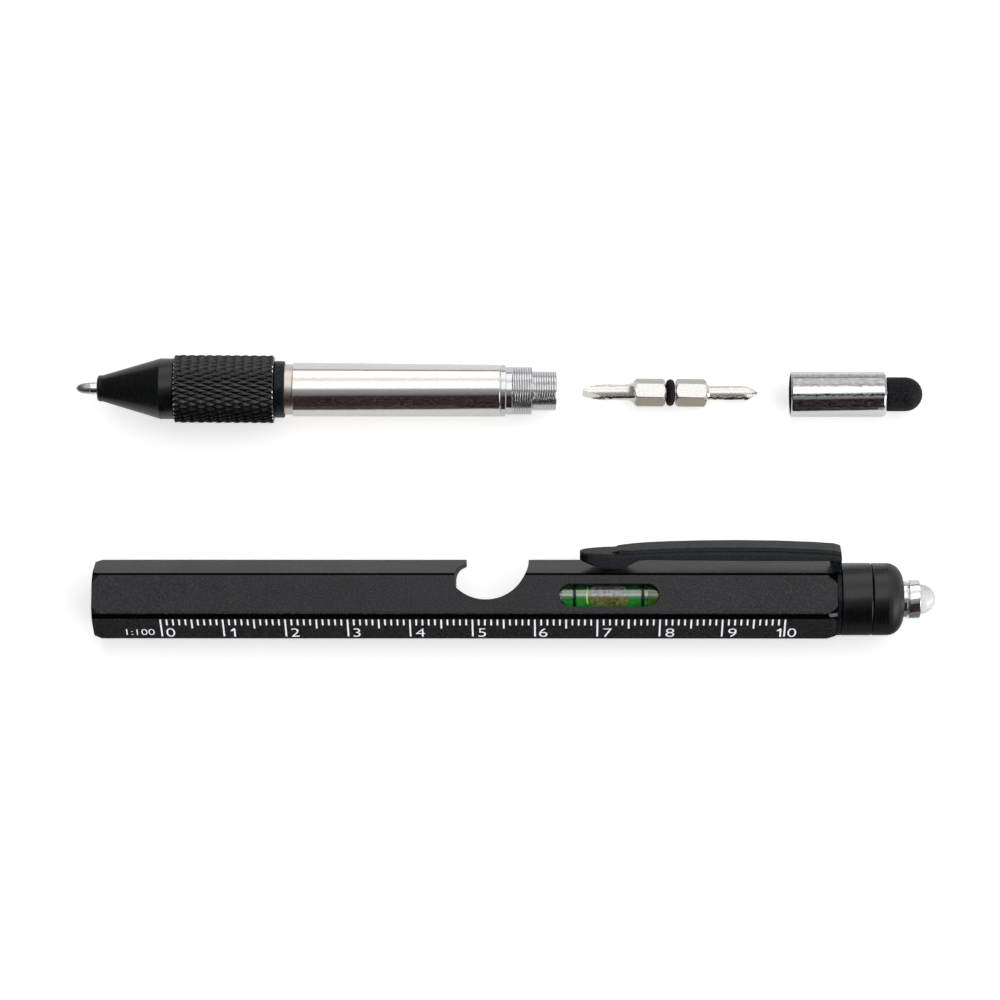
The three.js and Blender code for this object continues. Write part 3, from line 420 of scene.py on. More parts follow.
def chrome_plate(name, base, haze=None):
    """Bright chrome over polished brass: an even mirror with a slight ripple, with bands of painted
    reflection where haze is given.
    """
    material, tree = new_material(name)
    ripple = grain(tree, 2.2)
    clean = shades(tree, grain(tree, 0.25), tinted(base, 0.92), tinted(base, 1.02))
    paint, metal = polishing_haze(tree, clean, *haze) if haze else (clean, dusty(tree))
    return with_surface(material, {
        "Base Color": paint,
        "Metallic": metal,
        "Roughness": spread(tree, ripple, 0.05, 0.09),
        "Normal": relief(tree, (ripple, 0.15, 0.03), (grain(tree, 0.35), 0.4, 0.02)),
    })


def nickel_plate(name, base, grain_size=0.22, roughness=(0.14, 0.24), pitting=0.35):
    """Nickel over tumbled steel: a warm sheen with a fine pitted grain."""
    material, tree = new_material(name)
    pits = grain(tree, grain_size)
    return with_surface(material, {
        "Base Color": shades(tree, pits, tinted(base, 0.84), tinted(base, 1.06)),
        "Metallic": 1.0,
        "Roughness": spread(tree, pits, *roughness),
        "Normal": relief(tree, (pits, pitting, 0.015)),
    })


def forged_nickel(name, base, place):
    """Nickel over a forged shank: pale from all sides, with a thin dark reflection low on its side."""
    material, tree = new_material(name)
    pits = grain(tree, 0.3)
    waves = spread(tree, grain(tree, 0.6), -0.12 * MM, 0.12 * MM)
    across = add_node(tree, "ShaderNodeMath", {
        0: along_axis(tree, place.col[1].to_3d(), place.translation), 1: waves,
    }, operation="ADD").outputs["Value"]
    pale = shades(tree, pits, base, tinted(base, 1.25))
    low_line = band(tree, across, -1.12 * MM, -0.85 * MM, 0.05 * MM)
    return with_surface(material, {
        "Base Color": shades(tree, low_line, pale, linear("1A1210"), 0.0, 1.0),
        "Metallic": 0.75,
        "Roughness": spread(tree, pits, 0.2, 0.3),
        "Normal": relief(tree, (pits, 0.4, 0.015)),
    })


def moulded_rubber(name, base):
    """Moulded silicone rubber: matt and even, with a dusty fine grain."""
    material, tree = new_material(name)
    dust = grain(tree, 0.24)
    return with_surface(material, {
        "Base Color": specks(tree, dust, tinted(base, 0.1), tinted(base, 12.0)),
        "IOR": 1.3,
        "Roughness": spread(tree, dust, 0.55, 0.75),
        "Normal": relief(tree, (dust, 0.5, 0.03)),
    })


def plain_coat(name, base, roughness, grain_size=0.3, metallic=0.0):
    """An even moulded, printed or plated finish with a faint grain."""
    material, tree = new_material(name)
    spots = grain(tree, grain_size)
    return with_surface(material, {
        "Base Color": shades(tree, spots, tinted(base, 0.92), tinted(base, 1.05)),
        "Metallic": metallic,
        "Roughness": spread(tree, spots, roughness * 0.9, roughness * 1.1),
    })


def bare_aluminium(name, base="F6F6F4"):
    """Aluminium laid bare where a coat is rubbed off: scratched so fine that it looks white from all
    sides."""
    return plain_coat(name, linear(base), 0.4, grain_size=0.1, metallic=0.1)


def clear_acrylic(name):
    """Extruded acrylic tube: clear, with the light's reflection along it."""
    material, tree = new_material(name)
    return with_surface(material, {
        "Base Color": (0.96, 1.0, 0.97, 1.0),
        "Transmission Weight": 1.0,
        "IOR": 1.49,
        "Roughness": spread(tree, grain(tree, 0.8), 0.02, 0.05),
        "Coat Weight": 1.0,
        "Coat IOR": 1.9,
        "Coat Roughness": 0.03,
    })


def dyed_alcohol(name, dye):
    """Dyed alcohol or acrylic seen against the vial: swirls of a deeper and a paler green."""
    material, tree = new_material(name)
    return with_surface(material, {
        "Base Color": shades(tree, grain(tree, 2.4), tinted(dye, 0.55), tinted(dye, 1.5)),
        "IOR": 1.36,
        "Roughness": 0.12,
        "Coat Weight": 1.0,
        "Coat IOR": 1.9,
        "Coat Roughness": 0.04,
    })


def air_in_liquid(name, place):
    """Air in the vial: a dull window with a painted reflection, bluish on its upper and olive on its
    lower side, mottled like the reflections in it."""
    material, tree = new_material(name)
    across = along_axis(tree, place.col[1].to_3d(), place.translation)
    blotches = grain(tree, 0.5)
    # painted reflections: bluish grey on the upper side, olive on the lower
    above = shades(tree, blotches, linear("4A5054"), linear("B4B8BC"))
    below = shades(tree, blotches, linear("25280E"), linear("8E8448"))
    return with_surface(material, {
        "Base Color": shades(tree, across, below, above, -0.3 * MM, 0.2 * MM),
        "Roughness": 0.2,
    })


def lens_plastic(name):
    """Moulded epoxy lens of the lamp: milky in the middle, painted grey towards its rim as shade, and
    bright there from its coat.
    """
    material, tree = new_material(name)
    haze = grain(tree, 0.5)
    rim = add_node(tree, "ShaderNodeLayerWeight", {"Blend": 0.2})
    milk = shades(tree, haze, linear("DADCDD"), linear("F4F4F2"))
    return with_surface(material, {
        # painted shade: the colour turns grey towards the rim, as the surface turns from the view
        "Base Color": shades(tree, rim.outputs["Facing"], milk, linear("8A8E90"), 0.0, 1.0),
        "Transmission Weight": 0.15,
        "IOR": 1.5,
        "Roughness": spread(tree, haze, 0.08, 0.18),
        "Coat Weight": 0.6,
        "Coat Roughness": 0.05,
    })


def mark_sharp(mesh, degrees):
    """Marks the edges whose faces meet at more than this angle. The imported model's triangles share no
    corners, so the faces at an edge are found by the places of its ends."""
    places = {}
    corners = [places.setdefault(tuple(round(c / CORNER_GAP) for c in v.co), len(places))
               for v in mesh.vertices]
    around = {}
    for face in mesh.polygons:
        for edge in face.edge_keys:
            around.setdefault(frozenset(corners[i] for i in edge), []).append(face.normal.copy())
    limit = math.radians(degrees)
    for edge in mesh.edges:
        normals = around[frozenset(corners[i] for i in edge.vertices)]
        edge.use_edge_sharp = len(normals) > 1 and normals[0].angle(normals[1], 0.0) > limit


def finish_node(name, material, bevel=0.0, sharp=35, bevelled=35):
    """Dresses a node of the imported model: its finish, its broken edges and its smooth shading."""
    node = frame["nodes"][name]
    node.data.materials.clear()
    node.data.materials.append(material)
    node.data.polygons.foreach_set("use_smooth", [True] * len(node.data.polygons))
    mark_sharp(node.data, sharp)
    weld = node.modifiers.new("join corners", "WELD")
    weld.merge_threshold = CORNER_GAP
    if bevel > 0:
        edge = node.modifiers.new("broken edges", "BEVEL")
        edge.width = bevel
        edge.segments = 2
        edge.limit_method = "ANGLE"
        edge.angle_limit = math.radians(bevelled)
        edge.use_clamp_overlap = True
        edge.miter_outer = "MITER_ARC"
    shading = node.modifiers.new("even shading", "WEIGHTED_NORMAL")
    shading.keep_sharp = True
    shading.weight = 60
    return node


def finish_faces(node, place, material, chosen):
    """Gives a second finish to the faces that are chosen by their normal and middle on given axes."""
    node.data.materials.append(material)
    into = place.inverted() @ node.matrix_world
    for face in node.data.polygons:
        if chosen((into.to_3x3() @ face.normal).normalized(), into @ face.center):
            face.material_index = len(node.data.materials) - 1


def turn_about_x(normal):
    """The direction of a normal about X, in degrees from upright towards +Y."""
    return math.degrees(math.atan2(normal.y, normal.z))


def new_piece(name, points, faces, place, material, body, node=None, slot=None):
    """A mesh piece in the row frame, riding on a body, with its normals facing out."""
    mesh = bpy.data.meshes.new(name)
    mesh.from_pydata([place @ Vector(p) for p in points], [], faces)
    shape = bmesh.new()
    shape.from_mesh(mesh)
    bmesh.ops.recalc_face_normals(shape, faces=shape.faces)
    shape.to_mesh(mesh)
    shape.free()
    return show_mesh(name, mesh, material, body, node)


def show_mesh(name, mesh, material, body, node=None):
    """Puts a mesh in the scene as a piece of the object."""
    piece = bpy.data.objects.new(name, mesh)
    bpy.context.scene.collection.objects.link(piece)
    mesh.materials.append(material)
    if node:
        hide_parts(node)
    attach(piece, body)
    return piece


def smooth(piece, degrees):
    """Smooth shading, except over edges sharper than this."""
    piece.data.polygons.foreach_set("use_smooth", [True] * len(piece.data.polygons))
    piece.data.set_sharp_from_angle(angle=math.radians(degrees))


def skin(rings, sides, closed=False):
    """Points and faces through rings about X: (along, radius), where a radius is a number or a
    function of the angle, and a radius of 0 is a point on the axis."""
    points = []
    rows = []
    for along, radius in rings:
        if radius == 0:
            rows.append([len(points)])
            points.append((along, 0.0, 0.0))
            continue
        row = []
        for i in range(sides):
            angle = i / sides * math.tau
            reach = radius(angle) if callable(radius) else radius
            row.append(len(points))
            points.append((along, reach * math.cos(angle), reach * math.sin(angle)))
        rows.append(row)
    faces = []
    pairs = list(zip(rows, rows[1:])) + ([(rows[-1], rows[0])] if closed else [])
    for low, high in pairs:
        for i in range(sides):
            n = (i + 1) % sides
            corners = [low[i % len(low)], low[n % len(low)], high[n % len(high)], high[i % len(high)]]
            face = list(dict.fromkeys(corners))
            if len(face) > 2:
                faces.append(face)
    return points, faces


def arc(along, radius, length, height, start, end, steps):
    """Rings of an oval arc about a point, its angles in degrees counted from the direction of +X."""
    angles = [math.radians(start + (end - start) * i / steps) for i in range(steps + 1)]
    return [(along + length * math.cos(a), radius + height * math.sin(a)) for a in angles]


def from_axis(point):
    """How far a point lies from the X axis."""
    return math.hypot(point.y, point.z)


def zigzag(value):
    """0 at whole numbers and 1 halfway between them."""
    return 1 - abs(2 * (value % 1) - 1)


class PieceOperator:
    """What the operators of the pen's pieces share."""
    bl_options = {"REGISTER"}

    def execute(self, context):
        self.make(context.scene.pen)
        return {"FINISHED"}


class PEN_OT_barrel(PieceOperator, bpy.types.Operator):
    """Finish the hexagonal barrel and the brass bush in it"""
    bl_idname = "pen.barrel"
    bl_label = "Barrel"

    def make(self, pen):
        dye = pen.finish.barrel
        place = barrel_axes()
        notch_start, notch_end, edge_height = 54 * MM, 72 * MM, 4.5 * MM

        def in_notch(normal, middle):
            return abs(normal.z) < 0.3 and notch_start < middle.x < notch_end

        def on_lower_side(normal, middle):
            return abs(normal.x) < 0.1 and middle.z > edge_height and -55 < turn_about_x(normal) < -5

        def on_end_chamfer(normal, middle):
            return 0.1 < normal.x < 0.9 and middle.x > CHAMFER_ALONG - 1 * MM

        # the corner of the end chamfer between the top flat and the ruler's flat, which is drawn light
        # grey
        def on_rubbed_corner(normal, middle):
            return on_end_chamfer(normal, middle) and -34 < turn_about_x(normal) < -28

        blasted = anodised_aluminium("anodised aluminium, barrel", dye)
        # The rounded corner towards the ruler gets a lighter, rougher copy of the barrel's finish:
        # painted light, so that it looks as bright as the top flat
        milled = anodised_aluminium("anodised aluminium, corner painted lighter", tinted(dye, 1.5), (0.3, 0.4))
        barrel = finish_node("barrel_tube", with_milled_corners(blasted, place), sharp=12)
        for finish, chosen in (
            (anodised_aluminium("anodised aluminium, milled notch", dye, (0.5, 0.6), 1.2), in_notch),
            # the corner towards the ruler: painted light, under the bands of painted dark reflection
            (with_milled_corners(milled, place), on_lower_side),
            # the end chamfer, drawn black with almost no shine: painted shade of the clip's fold
            (anodised_aluminium("anodised aluminium, end chamfer in painted shade", tinted(dye, 0.05), (0.5, 0.6), 1.1),
             on_end_chamfer),
            # light grey on that corner of the end chamfer, drawn with the bare aluminium finish
            (bare_aluminium("light grey corner of the end chamfer", "4A4C4E"), on_rubbed_corner),
        ):
            finish_faces(barrel, place, finish, chosen)
        finish_node("thread_bush", turned_stainless("turned brass, bush", linear("B08D4A")))
        self.worn_edge()

    def worn_edge(self):
        """Flecks of bare metal where the coat is knocked off the end chamfer."""
        chance = random.Random(7)
        points, faces = [], []
        chamfer = (facet_axes(0) @ Matrix.Translation((CHAMFER_ALONG, 0, 0))
                   @ Matrix.Rotation(CHAMFER_SLOPE, 4, "Y"))
        first, spacing = -1.2, 0.36
        for number in range(9):
            across = (first + spacing * number + chance.uniform(-0.08, 0.08)) * MM
            tall, wide = chance.uniform(0.1, 0.2) * MM, chance.uniform(0.1, 0.16) * MM
            end = chance.uniform(1.3, 1.4) * MM
            add_plate(points, faces, (end - wide, across), (end, across + tall))
        flecks = bare_aluminium("bare aluminium, worn edge")
        new_piece("worn_edge", points, faces, chamfer, flecks, "barrel")


class PEN_OT_ruler(PieceOperator, bpy.types.Operator):
    """Print the centimetre scale on the barrel"""
    bl_idname = "pen.ruler"
    bl_label = "Ruler"
    ONE_WIDTH = 0.72 * MM

    def make(self, pen):
        ruler = pen.ruler
        ink = plain_coat("pad print, white", ruler.ink, 0.55, grain_size=0.15)
        place = facet_axes(60)
        centimetre, last = 10 * MM, ruler.start + 100 * MM
        foot = ruler.top - ruler.centimetre_length - 0.1 * MM
        points, faces = [], []
        for tenth in range(101):
            if tenth % 10 == 0:
                length = ruler.centimetre_length
            elif tenth % 5 == 0:
                length = ruler.half_length
            else:
                length = ruler.millimetre_length
            along = ruler.start + tenth * MM
            add_plate(points, faces, (along - ruler.mark_width / 2, ruler.top - length),
                      (along + ruler.mark_width / 2, ruler.top))
        self.add_one(points, faces, ruler, ruler.start + centimetre + ruler.one_space, foot)
        self.add_one(points, faces, ruler, last - ruler.ten_space - self.ONE_WIDTH, foot)
        new_piece("ruler_marks", points, faces, place, ink, "barrel")
        numbers = bmesh.new()
        for number in (0, 2, 3, 4, 5, 6, 7, 8, 9):
            along = ruler.start + number * (centimetre + ruler.number_drift) + ruler.number_space
            along += ruler.six_shift if number == 6 else 0.0
            add_number(numbers, str(number), ruler.number_height, (along, foot), place, "LEFT")
        add_number(numbers, "0", ruler.number_height, (last + ruler.ten_space, foot), place, "LEFT")
        before_zero = (ruler.start - ruler.number_space * 1.6, foot + ruler.number_height * 0.2)
        add_number(numbers, "1:100", ruler.number_height * 0.7, before_zero, place, "RIGHT")
        mesh = bpy.data.meshes.new("ruler_numbers")
        numbers.to_mesh(mesh)
        numbers.free()
        show_mesh("ruler_numbers", mesh, ink, "barrel")

    def add_one(self, points, faces, ruler, left, foot):
        """A figure 1 with a flag and no foot, from its left side."""
        head = foot + ruler.number_height
        right = left + self.ONE_WIDTH
        stem = right - ruler.mark_width
        outline = [(stem, foot), (right, foot), (right, head), (stem + 0.02 * MM, head),
                   (left, head - 0.45 * MM), (left, head - 0.8 * MM), (stem, head - 0.55 * MM)]
        add_prism(points, faces, outline)


def add_prism(points, faces, outline):
    """A printed shape, a closed solid as thick as the print over an outline."""
    first, count = len(points), len(outline)
    points += [(x, y, z) for z in (0.0, PRINT_THICKNESS) for x, y in outline]
    faces.append([first + i for i in reversed(range(count))])
    faces.append([first + count + i for i in range(count)])
    for i in range(count):
        n = (i + 1) % count
        faces.append([first + i, first + n, first + count + n, first + count + i])


def add_plate(points, faces, low, high):
    """A printed bar between two corners."""
    add_prism(points, faces, [low, (high[0], low[1]), high, (low[0], high[1])])


def add_number(shape, text, height, foot, place, side):
    """Adds printed figures, with their foot at a point of the flat and standing left or right of it."""
    curve = bpy.data.curves.new("figures", "FONT")
    curve.body = text
    curve.extrude = 0.01
    curve.offset = -0.01  # thinner strokes than the font's own
    letters = bpy.data.objects.new("figures", curve)
    bpy.context.scene.collection.objects.link(letters)
    bpy.context.view_layer.update()
    mesh = bpy.data.meshes.new_from_object(letters.evaluated_get(bpy.context.evaluated_depsgraph_get()))
    bpy.data.objects.remove(letters)
    bpy.data.curves.remove(curve)
    xs = [v.co.x for v in mesh.vertices]
    ys = [v.co.y for v in mesh.vertices]
    scale = height / (max(ys) - min(ys))
    anchor = min(xs) if side == "LEFT" else max(xs)
    for v in mesh.vertices:
        flat = Vector((foot[0] + (v.co.x - anchor) * scale, foot[1] + (v.co.y - min(ys)) * scale,
                       PRINT_THICKNESS if v.co.z > 0 else 0.0))
        v.co = place @ flat
    shape.from_mesh(mesh)
    bpy.data.meshes.remove(mesh)


class PEN_OT_level(PieceOperator, bpy.types.Operator):
    """Fill the spirit level and draw its two lines"""
    bl_idname = "pen.level"
    bl_label = "Spirit level"

    # From the vial's middle: where the slot's ends turn round, and the cut ends of vial, bore and liquid
    BEND, VIAL_END, BORE_END, LIQUID_END = 6.15 * MM, 7.86 * MM, 7.5 * MM, 7.49 * MM
    TIP = 0.01 * MM
    VIAL, BORE = 1.75 * MM, 1.4 * MM

    def make(self, pen):
        level = pen.level
        place = barrel_axes() @ Matrix.Translation((LEVEL_ALONG, 0, LEVEL_HEIGHT))
        plug_start, plug_radius, liquid_end = 5.75 * MM, 1.3 * MM, 6.0 * MM
        full = self.BORE + self.TIP
        tube = [(-self.VIAL_END - self.TIP, 0), *self.cut_rings(self.VIAL, -self.VIAL_END),
                (self.BEND, self.VIAL), (self.BEND, self.BORE),
                *reversed(self.cut_rings(self.BORE, -self.BORE_END)), (-self.LIQUID_END, 0)]
        plug = [(plug_start, 0), (plug_start, plug_radius), (self.BEND, plug_radius),
                *reversed(self.cut_rings(self.VIAL, self.VIAL_END)), (self.VIAL_END + self.TIP, 0)]
        liquid = [(-self.BORE_END, 0), *self.cut_rings(full, -self.LIQUID_END),
                  (liquid_end, full), (liquid_end, 0)]
        clear = clear_acrylic("clear acrylic, vial")
        green_plug = dyed_alcohol("dyed acrylic, plug", level.plug)
        green = dyed_alcohol("dyed alcohol", level.liquid)
        for name, rings, finish, node, slot in (
            ("cut_vial", tube, clear, "vial_tube", "vial_clear"),
            ("cut_plug", plug, green_plug, "vial_plug", "vial_clear"),
            ("dyed_liquid", liquid, green, "vial_liquid", "level_liquid"),
        ):
            smooth(new_piece(name, *skin(rings, 64), place, finish, "barrel", node, slot), 40)
        self.bubble(place)
        black = plain_coat("printed line, black", linear("050505"), 0.5)
        outer, inner, half = 1.78 * MM, 1.755 * MM, level.line_width / 2
        for name, along in (("level_line_left", level.left_line),
                            ("level_line_right", level.right_line)):
            rings = [(along - half, inner), (along - half, outer), (along + half, outer),
                     (along + half, inner)]
            new_piece(name, *skin(rings, 48, closed=True), place, black, "barrel")

    def cut_rings(self, radius, end):
        """Rings of the vial from one end inwards, cut to the round end of the slot that it shows in."""
        straight = math.copysign(self.BEND, end)
        steps = 12
        rings = []
        for step in range(steps + 1):
            along = end + (straight - end) * step / steps
            half = math.sqrt(max(0.0, radius ** 2 - (along - straight) ** 2))
            rings.append((along, self.between_walls(radius, half)))
        return rings

    def between_walls(self, radius, half):
        """A round outline, cut off by two upright walls."""
        return lambda angle: min(radius, half / max(1e-6, abs(math.cos(angle))))

    def bubble(self, place):
        """A long blister of air along the top of the liquid, and a painted highlight line beyond its
        left end.
        """
        low, high = -3.1 * MM, 3.1 * MM
        radius = 1.425 * MM
        half_arc = math.radians(72)
        end = 0.9 * MM
        steps_along, steps_round = 40, 20
        points, faces = [], []
        for i in range(steps_along + 1):
            along = low + (high - low) * i / steps_along
            from_end = min(along - low, high - along)
            share = math.sqrt(max(0.0, 1 - (1 - min(1.0, from_end / end)) ** 2))
            for j in range(steps_round + 1):
                angle = half_arc * share * (2 * j / steps_round - 1)
                points.append((along, radius * math.sin(angle), radius * math.cos(angle)))
        row = steps_round + 1
        for i in range(steps_along):
            for j in range(steps_round):
                a = i * row + j
                faces.append((a, a + 1, a + row + 1, a + row))
        # a thin curved strip beyond the bubble's left end, for a painted highlight
        line_start, line_width, bulge = low - 0.55 * MM, 0.22 * MM, 0.35 * MM
        line_arc = math.radians(60)
        first = len(points)
        for j in range(steps_round + 1):
            angle = line_arc * (2 * j / steps_round - 1)
            for along in (line_start, line_start + line_width):
                bend = bulge * (1 - math.cos(angle))
                points.append((along + bend, radius * math.sin(angle), radius * math.cos(angle)))
        for j in range(steps_round):
            a = first + 2 * j
            faces.append((a, a + 1, a + 3, a + 2))
        air = air_in_liquid("air bubble", place)
        piece = new_piece("air_bubble", points, faces, place, air, "bubble", "level_bubble", "level_air")
        finish_faces(piece, place, plain_coat("painted highlight at the bubble's end", linear("E0E45A"), 0.3),
                     lambda normal, middle: middle.x < low - 0.1 * MM)
        smooth(piece, 60)


class PEN_OT_clip(PieceOperator, bpy.types.Operator):
    """Finish the pocket clip and the ring that holds it"""
    bl_idname = "pen.clip"
    bl_label = "Clip"

    def make(self, pen):
        coat = black_oxide_steel("black oxide on steel, clip", pen.finish.clip)
        arm = finish_node("clip_arm", coat, 0.25 * MM, sharp=16, bevelled=62)
        # Faces of the clip turned between 60 degrees towards the near side and 20 towards the far side
        # get a lighter copy of its finish: painted light
        rubbed = black_oxide_steel("black oxide on steel, side painted lighter", linear("282C30"),
                                   ground=0.7, spotted=1.5)
        finish_faces(arm, barrel_axes(), rubbed,
                     lambda normal, middle: -60 < turn_about_x(normal) < 20 and abs(normal.x) < 0.3)
        finish_node("clip_ring", coat)
        self.root(coat)

    def root(self, coat):
        """The folded root of the clip, which closes the gap over the barrel's end."""
        start, toe, tip, half = 117.9 * MM, 118.8 * MM, 119.95 * MM, 2.55 * MM
        foot, top = 0.08 * MM, 2.2 * MM
        side = ((start, top), (toe, foot), (tip, foot), (tip, top))
        points = [(along, y, height) for along, height in side for y in (-half, half)]
        faces = [(0, 1, 3, 2), (2, 3, 5, 4), (4, 5, 7, 6), (6, 7, 1, 0), (0, 2, 4, 6), (1, 7, 5, 3)]
        new_piece("clip_root", points, faces, facet_axes(-60), coat, "clip")


class PEN_OT_lamp_head(PieceOperator, bpy.types.Operator):
    """Finish the lamp head's sleeve and screw cap"""
    bl_idname = "pen.lamp_head"
    bl_label = "Lamp head"

    def make(self, pen):
        edge, dome_start = pen.finish.edge_width * 1.3, 127.5 * MM
        turned = turned_anodised_aluminium("turned anodised aluminium, head", pen.finish.head)
        dome = turned_anodised_aluminium("turned anodised aluminium, dome", pen.finish.head, (0.42, 0.5))
        finish_node("head_sleeve", turned, edge)
        finish_faces(finish_node("head_cap", turned, edge), barrel_axes(), dome,
                     lambda normal, middle: normal.x > 0.02 and middle.x > dome_start)


class PEN_OT_lamp(PieceOperator, bpy.types.Operator):
    """Finish the push button, the lamp, its board and its batteries"""
    bl_idname = "pen.lamp"
    bl_label = "Lamp and batteries"

    def make(self, pen):
        finish_node("push_button", chrome_plate("chrome plate, button", pen.finish.chrome),
                    pen.finish.edge_width * 0.6)
        finish_node("contact_board", plain_coat("solder mask, green", linear("1F5A36"), 0.5))
        wire = turned_stainless("drawn spring wire", linear("B4B4B6"))
        finish_node("battery_spring", wire)
        self.shorten_with_button(finish_node("button_spring", wire))
        cell = nickel_plate("nickel plate, battery cell", linear("CDC8BC"), grain_size=0.3)
        for number in range(1, 5):
            finish_node(f"battery_cell_{number}", cell, 0.08 * MM)
        place = barrel_axes()
        foot, dome, radius = 126.85 * MM, 133.05 * MM, 2.4 * MM
        rings = [(foot, 0), (foot, radius), (dome, radius), *arc(dome, 0, radius, radius, 90, 8, 10),
                 (dome + radius, 0)]
        lens = new_piece("lamp_lens", *skin(rings, 64), place, lens_plastic("epoxy lens"),
                         "button", "led_bulb", "lamp_lens")
        smooth(lens, 50)

    def shorten_with_button(self, spring):
        """Gives the button's spring a mesh of its own; the spring doesn't shorten as the button goes in.
        """
        tuple(barrel_axes().col[0].to_3d())
        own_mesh(spring)


class PEN_OT_writing_end(PieceOperator, bpy.types.Operator):
    """Finish the nose cone, the refill and its tip"""
    bl_idname = "pen.writing_end"
    bl_label = "Nose and refill"

    def make(self, pen):
        nose = turned_anodised_aluminium("turned anodised aluminium, nose", pen.finish.nose)
        finish_node("nose_cone", nose, pen.finish.edge_width)
        tip = turned_stainless("turned nickel silver, tip", linear("E2E0DC"), (0.06, 0.12))
        cone_start, cone_length, lip, reach = 2.3, 2.12, 0.32, 0.6
        shank = [(8.9, 0), (8.9, 0.8), (5.9, 0.8), (5.9, 1.0), (2.36, 1.0), (2.3, 0.95)]
        ball_seat = [(0.2, 0.28), (0.5, 0.26), (0.7, 0)]
        profile = shank + arc(cone_start, lip, cone_length, reach, 90, 180, 9) + ball_seat
        rings = [(along * MM, radius * MM) for along, radius in profile]
        piece = new_piece("writing_tip", *skin(rings, 48), insert_axes(), tip, "refill", "refill_tip",
                          "refill_brass")
        cone = nickel_plate("turned nickel silver, tip cone", linear("C4C4C2"), 0.4, (0.3, 0.42), 0.8)
        finish_faces(piece, insert_axes(), cone, lambda normal, middle: middle.x < cone_start * MM)
        smooth(piece, 25)
        finish_node("writing_ball", nickel_plate("tungsten carbide, ball", linear("8E8E90")))
        finish_node("refill_tube", plain_coat("polypropylene, refill", linear("DADEDE"), 0.35))
        finish_node("ink_column", plain_coat("ballpoint ink", linear("10131F"), 0.6))


class PEN_OT_grip(PieceOperator, bpy.types.Operator):
    """Cut the knurled grip"""
    bl_idname = "pen.grip"
    bl_label = "Knurled grip"

    def make(self, pen):
        grip = pen.grip
        start, end, collar_end = 15.95 * MM, 32.25 * MM, 33.95 * MM
        crest, collar, bore = 5.535 * MM, 4.625 * MM, 4.3 * MM
        root = crest - grip.depth
        shoulder = root - grip.chamfer / 2
        slope = (crest - shoulder) / grip.chamfer
        count = grip.diamonds_around

        def pyramid(along, angle):
            around = count * angle / math.tau
            down = (along - start) / grip.diamond_length
            height = min(zigzag(around - down), 0.1 + 0.9 * zigzag(around + down))
            return root + grip.depth * min(1.0, 1.15 * height)

        def surface(along):
            limit = shoulder + slope * min(along - start, end - along)
            return lambda angle: min(limit, pyramid(along, angle))

        # Crests at the ends of the knurl where the coat is worn through: bare metal painted white, which
        # also stands in for the glints there
        def on_worn_crest(normal, middle):
            at_start, at_end = middle.x - start < grip.chamfer, end - middle.x < grip.chamfer
            crest_number = int(count * (math.atan2(middle.y, middle.z) / math.tau + 1))
            worn = at_start and crest_number % 7 or at_end and crest_number % 5 < 2
            return (worn and abs(normal.x) > 0.45
                    and root + grip.depth * 0.45 < from_axis(middle) < root + grip.depth)

        steps, edge = 144, 0.15 * MM
        between = [start + (end - start) * i / steps for i in range(1, steps)]
        rings = [(start, bore), (start, shoulder), *((along, surface(along)) for along in between),
                 (end, shoulder), (end, collar - edge), (end + edge, collar),
                 (collar_end - edge, collar), (collar_end, collar - edge), (collar_end, bore)]
        dye = pen.finish.clip
        coat = black_oxide_steel("black coat on aluminium, grip", dye, (0.12, 0.2), 1.55, spotted=3.0)
        piece = new_piece("knurled_grip", *skin(rings, count * 8, closed=True), insert_axes(), coat,
                          "insert", "grip_sleeve", "black_coated_steel")
        finish_faces(piece, insert_axes(), bare_aluminium("bare aluminium with painted glints, knurl ends"), on_worn_crest)
        finish_faces(piece, insert_axes(), black_oxide_steel("black coat on aluminium, collar", dye),
                     lambda normal, middle: middle.x > end + 0.01 * MM)
        smooth(piece, 40)


class PEN_OT_handle(PieceOperator, bpy.types.Operator):
    """Finish the stainless handle"""
    bl_idname = "pen.handle"
    bl_label = "Handle"

    def make(self, pen):
        steel = turned_stainless("turned stainless steel, handle", pen.finish.stainless)
        handle = finish_node("handle_tube", steel, pen.finish.edge_width * 0.6)
        neck_end, neck_inside = 35.2 * MM, 3.7 * MM
        rough = nickel_plate("turned stainless steel, rough neck", linear("DDD3CB"), 0.3,
                             (0.26, 0.4), 1.0)
        finish_faces(handle, insert_axes(), rough,
                     lambda normal, middle: middle.x < neck_end and from_axis(middle) > neck_inside)


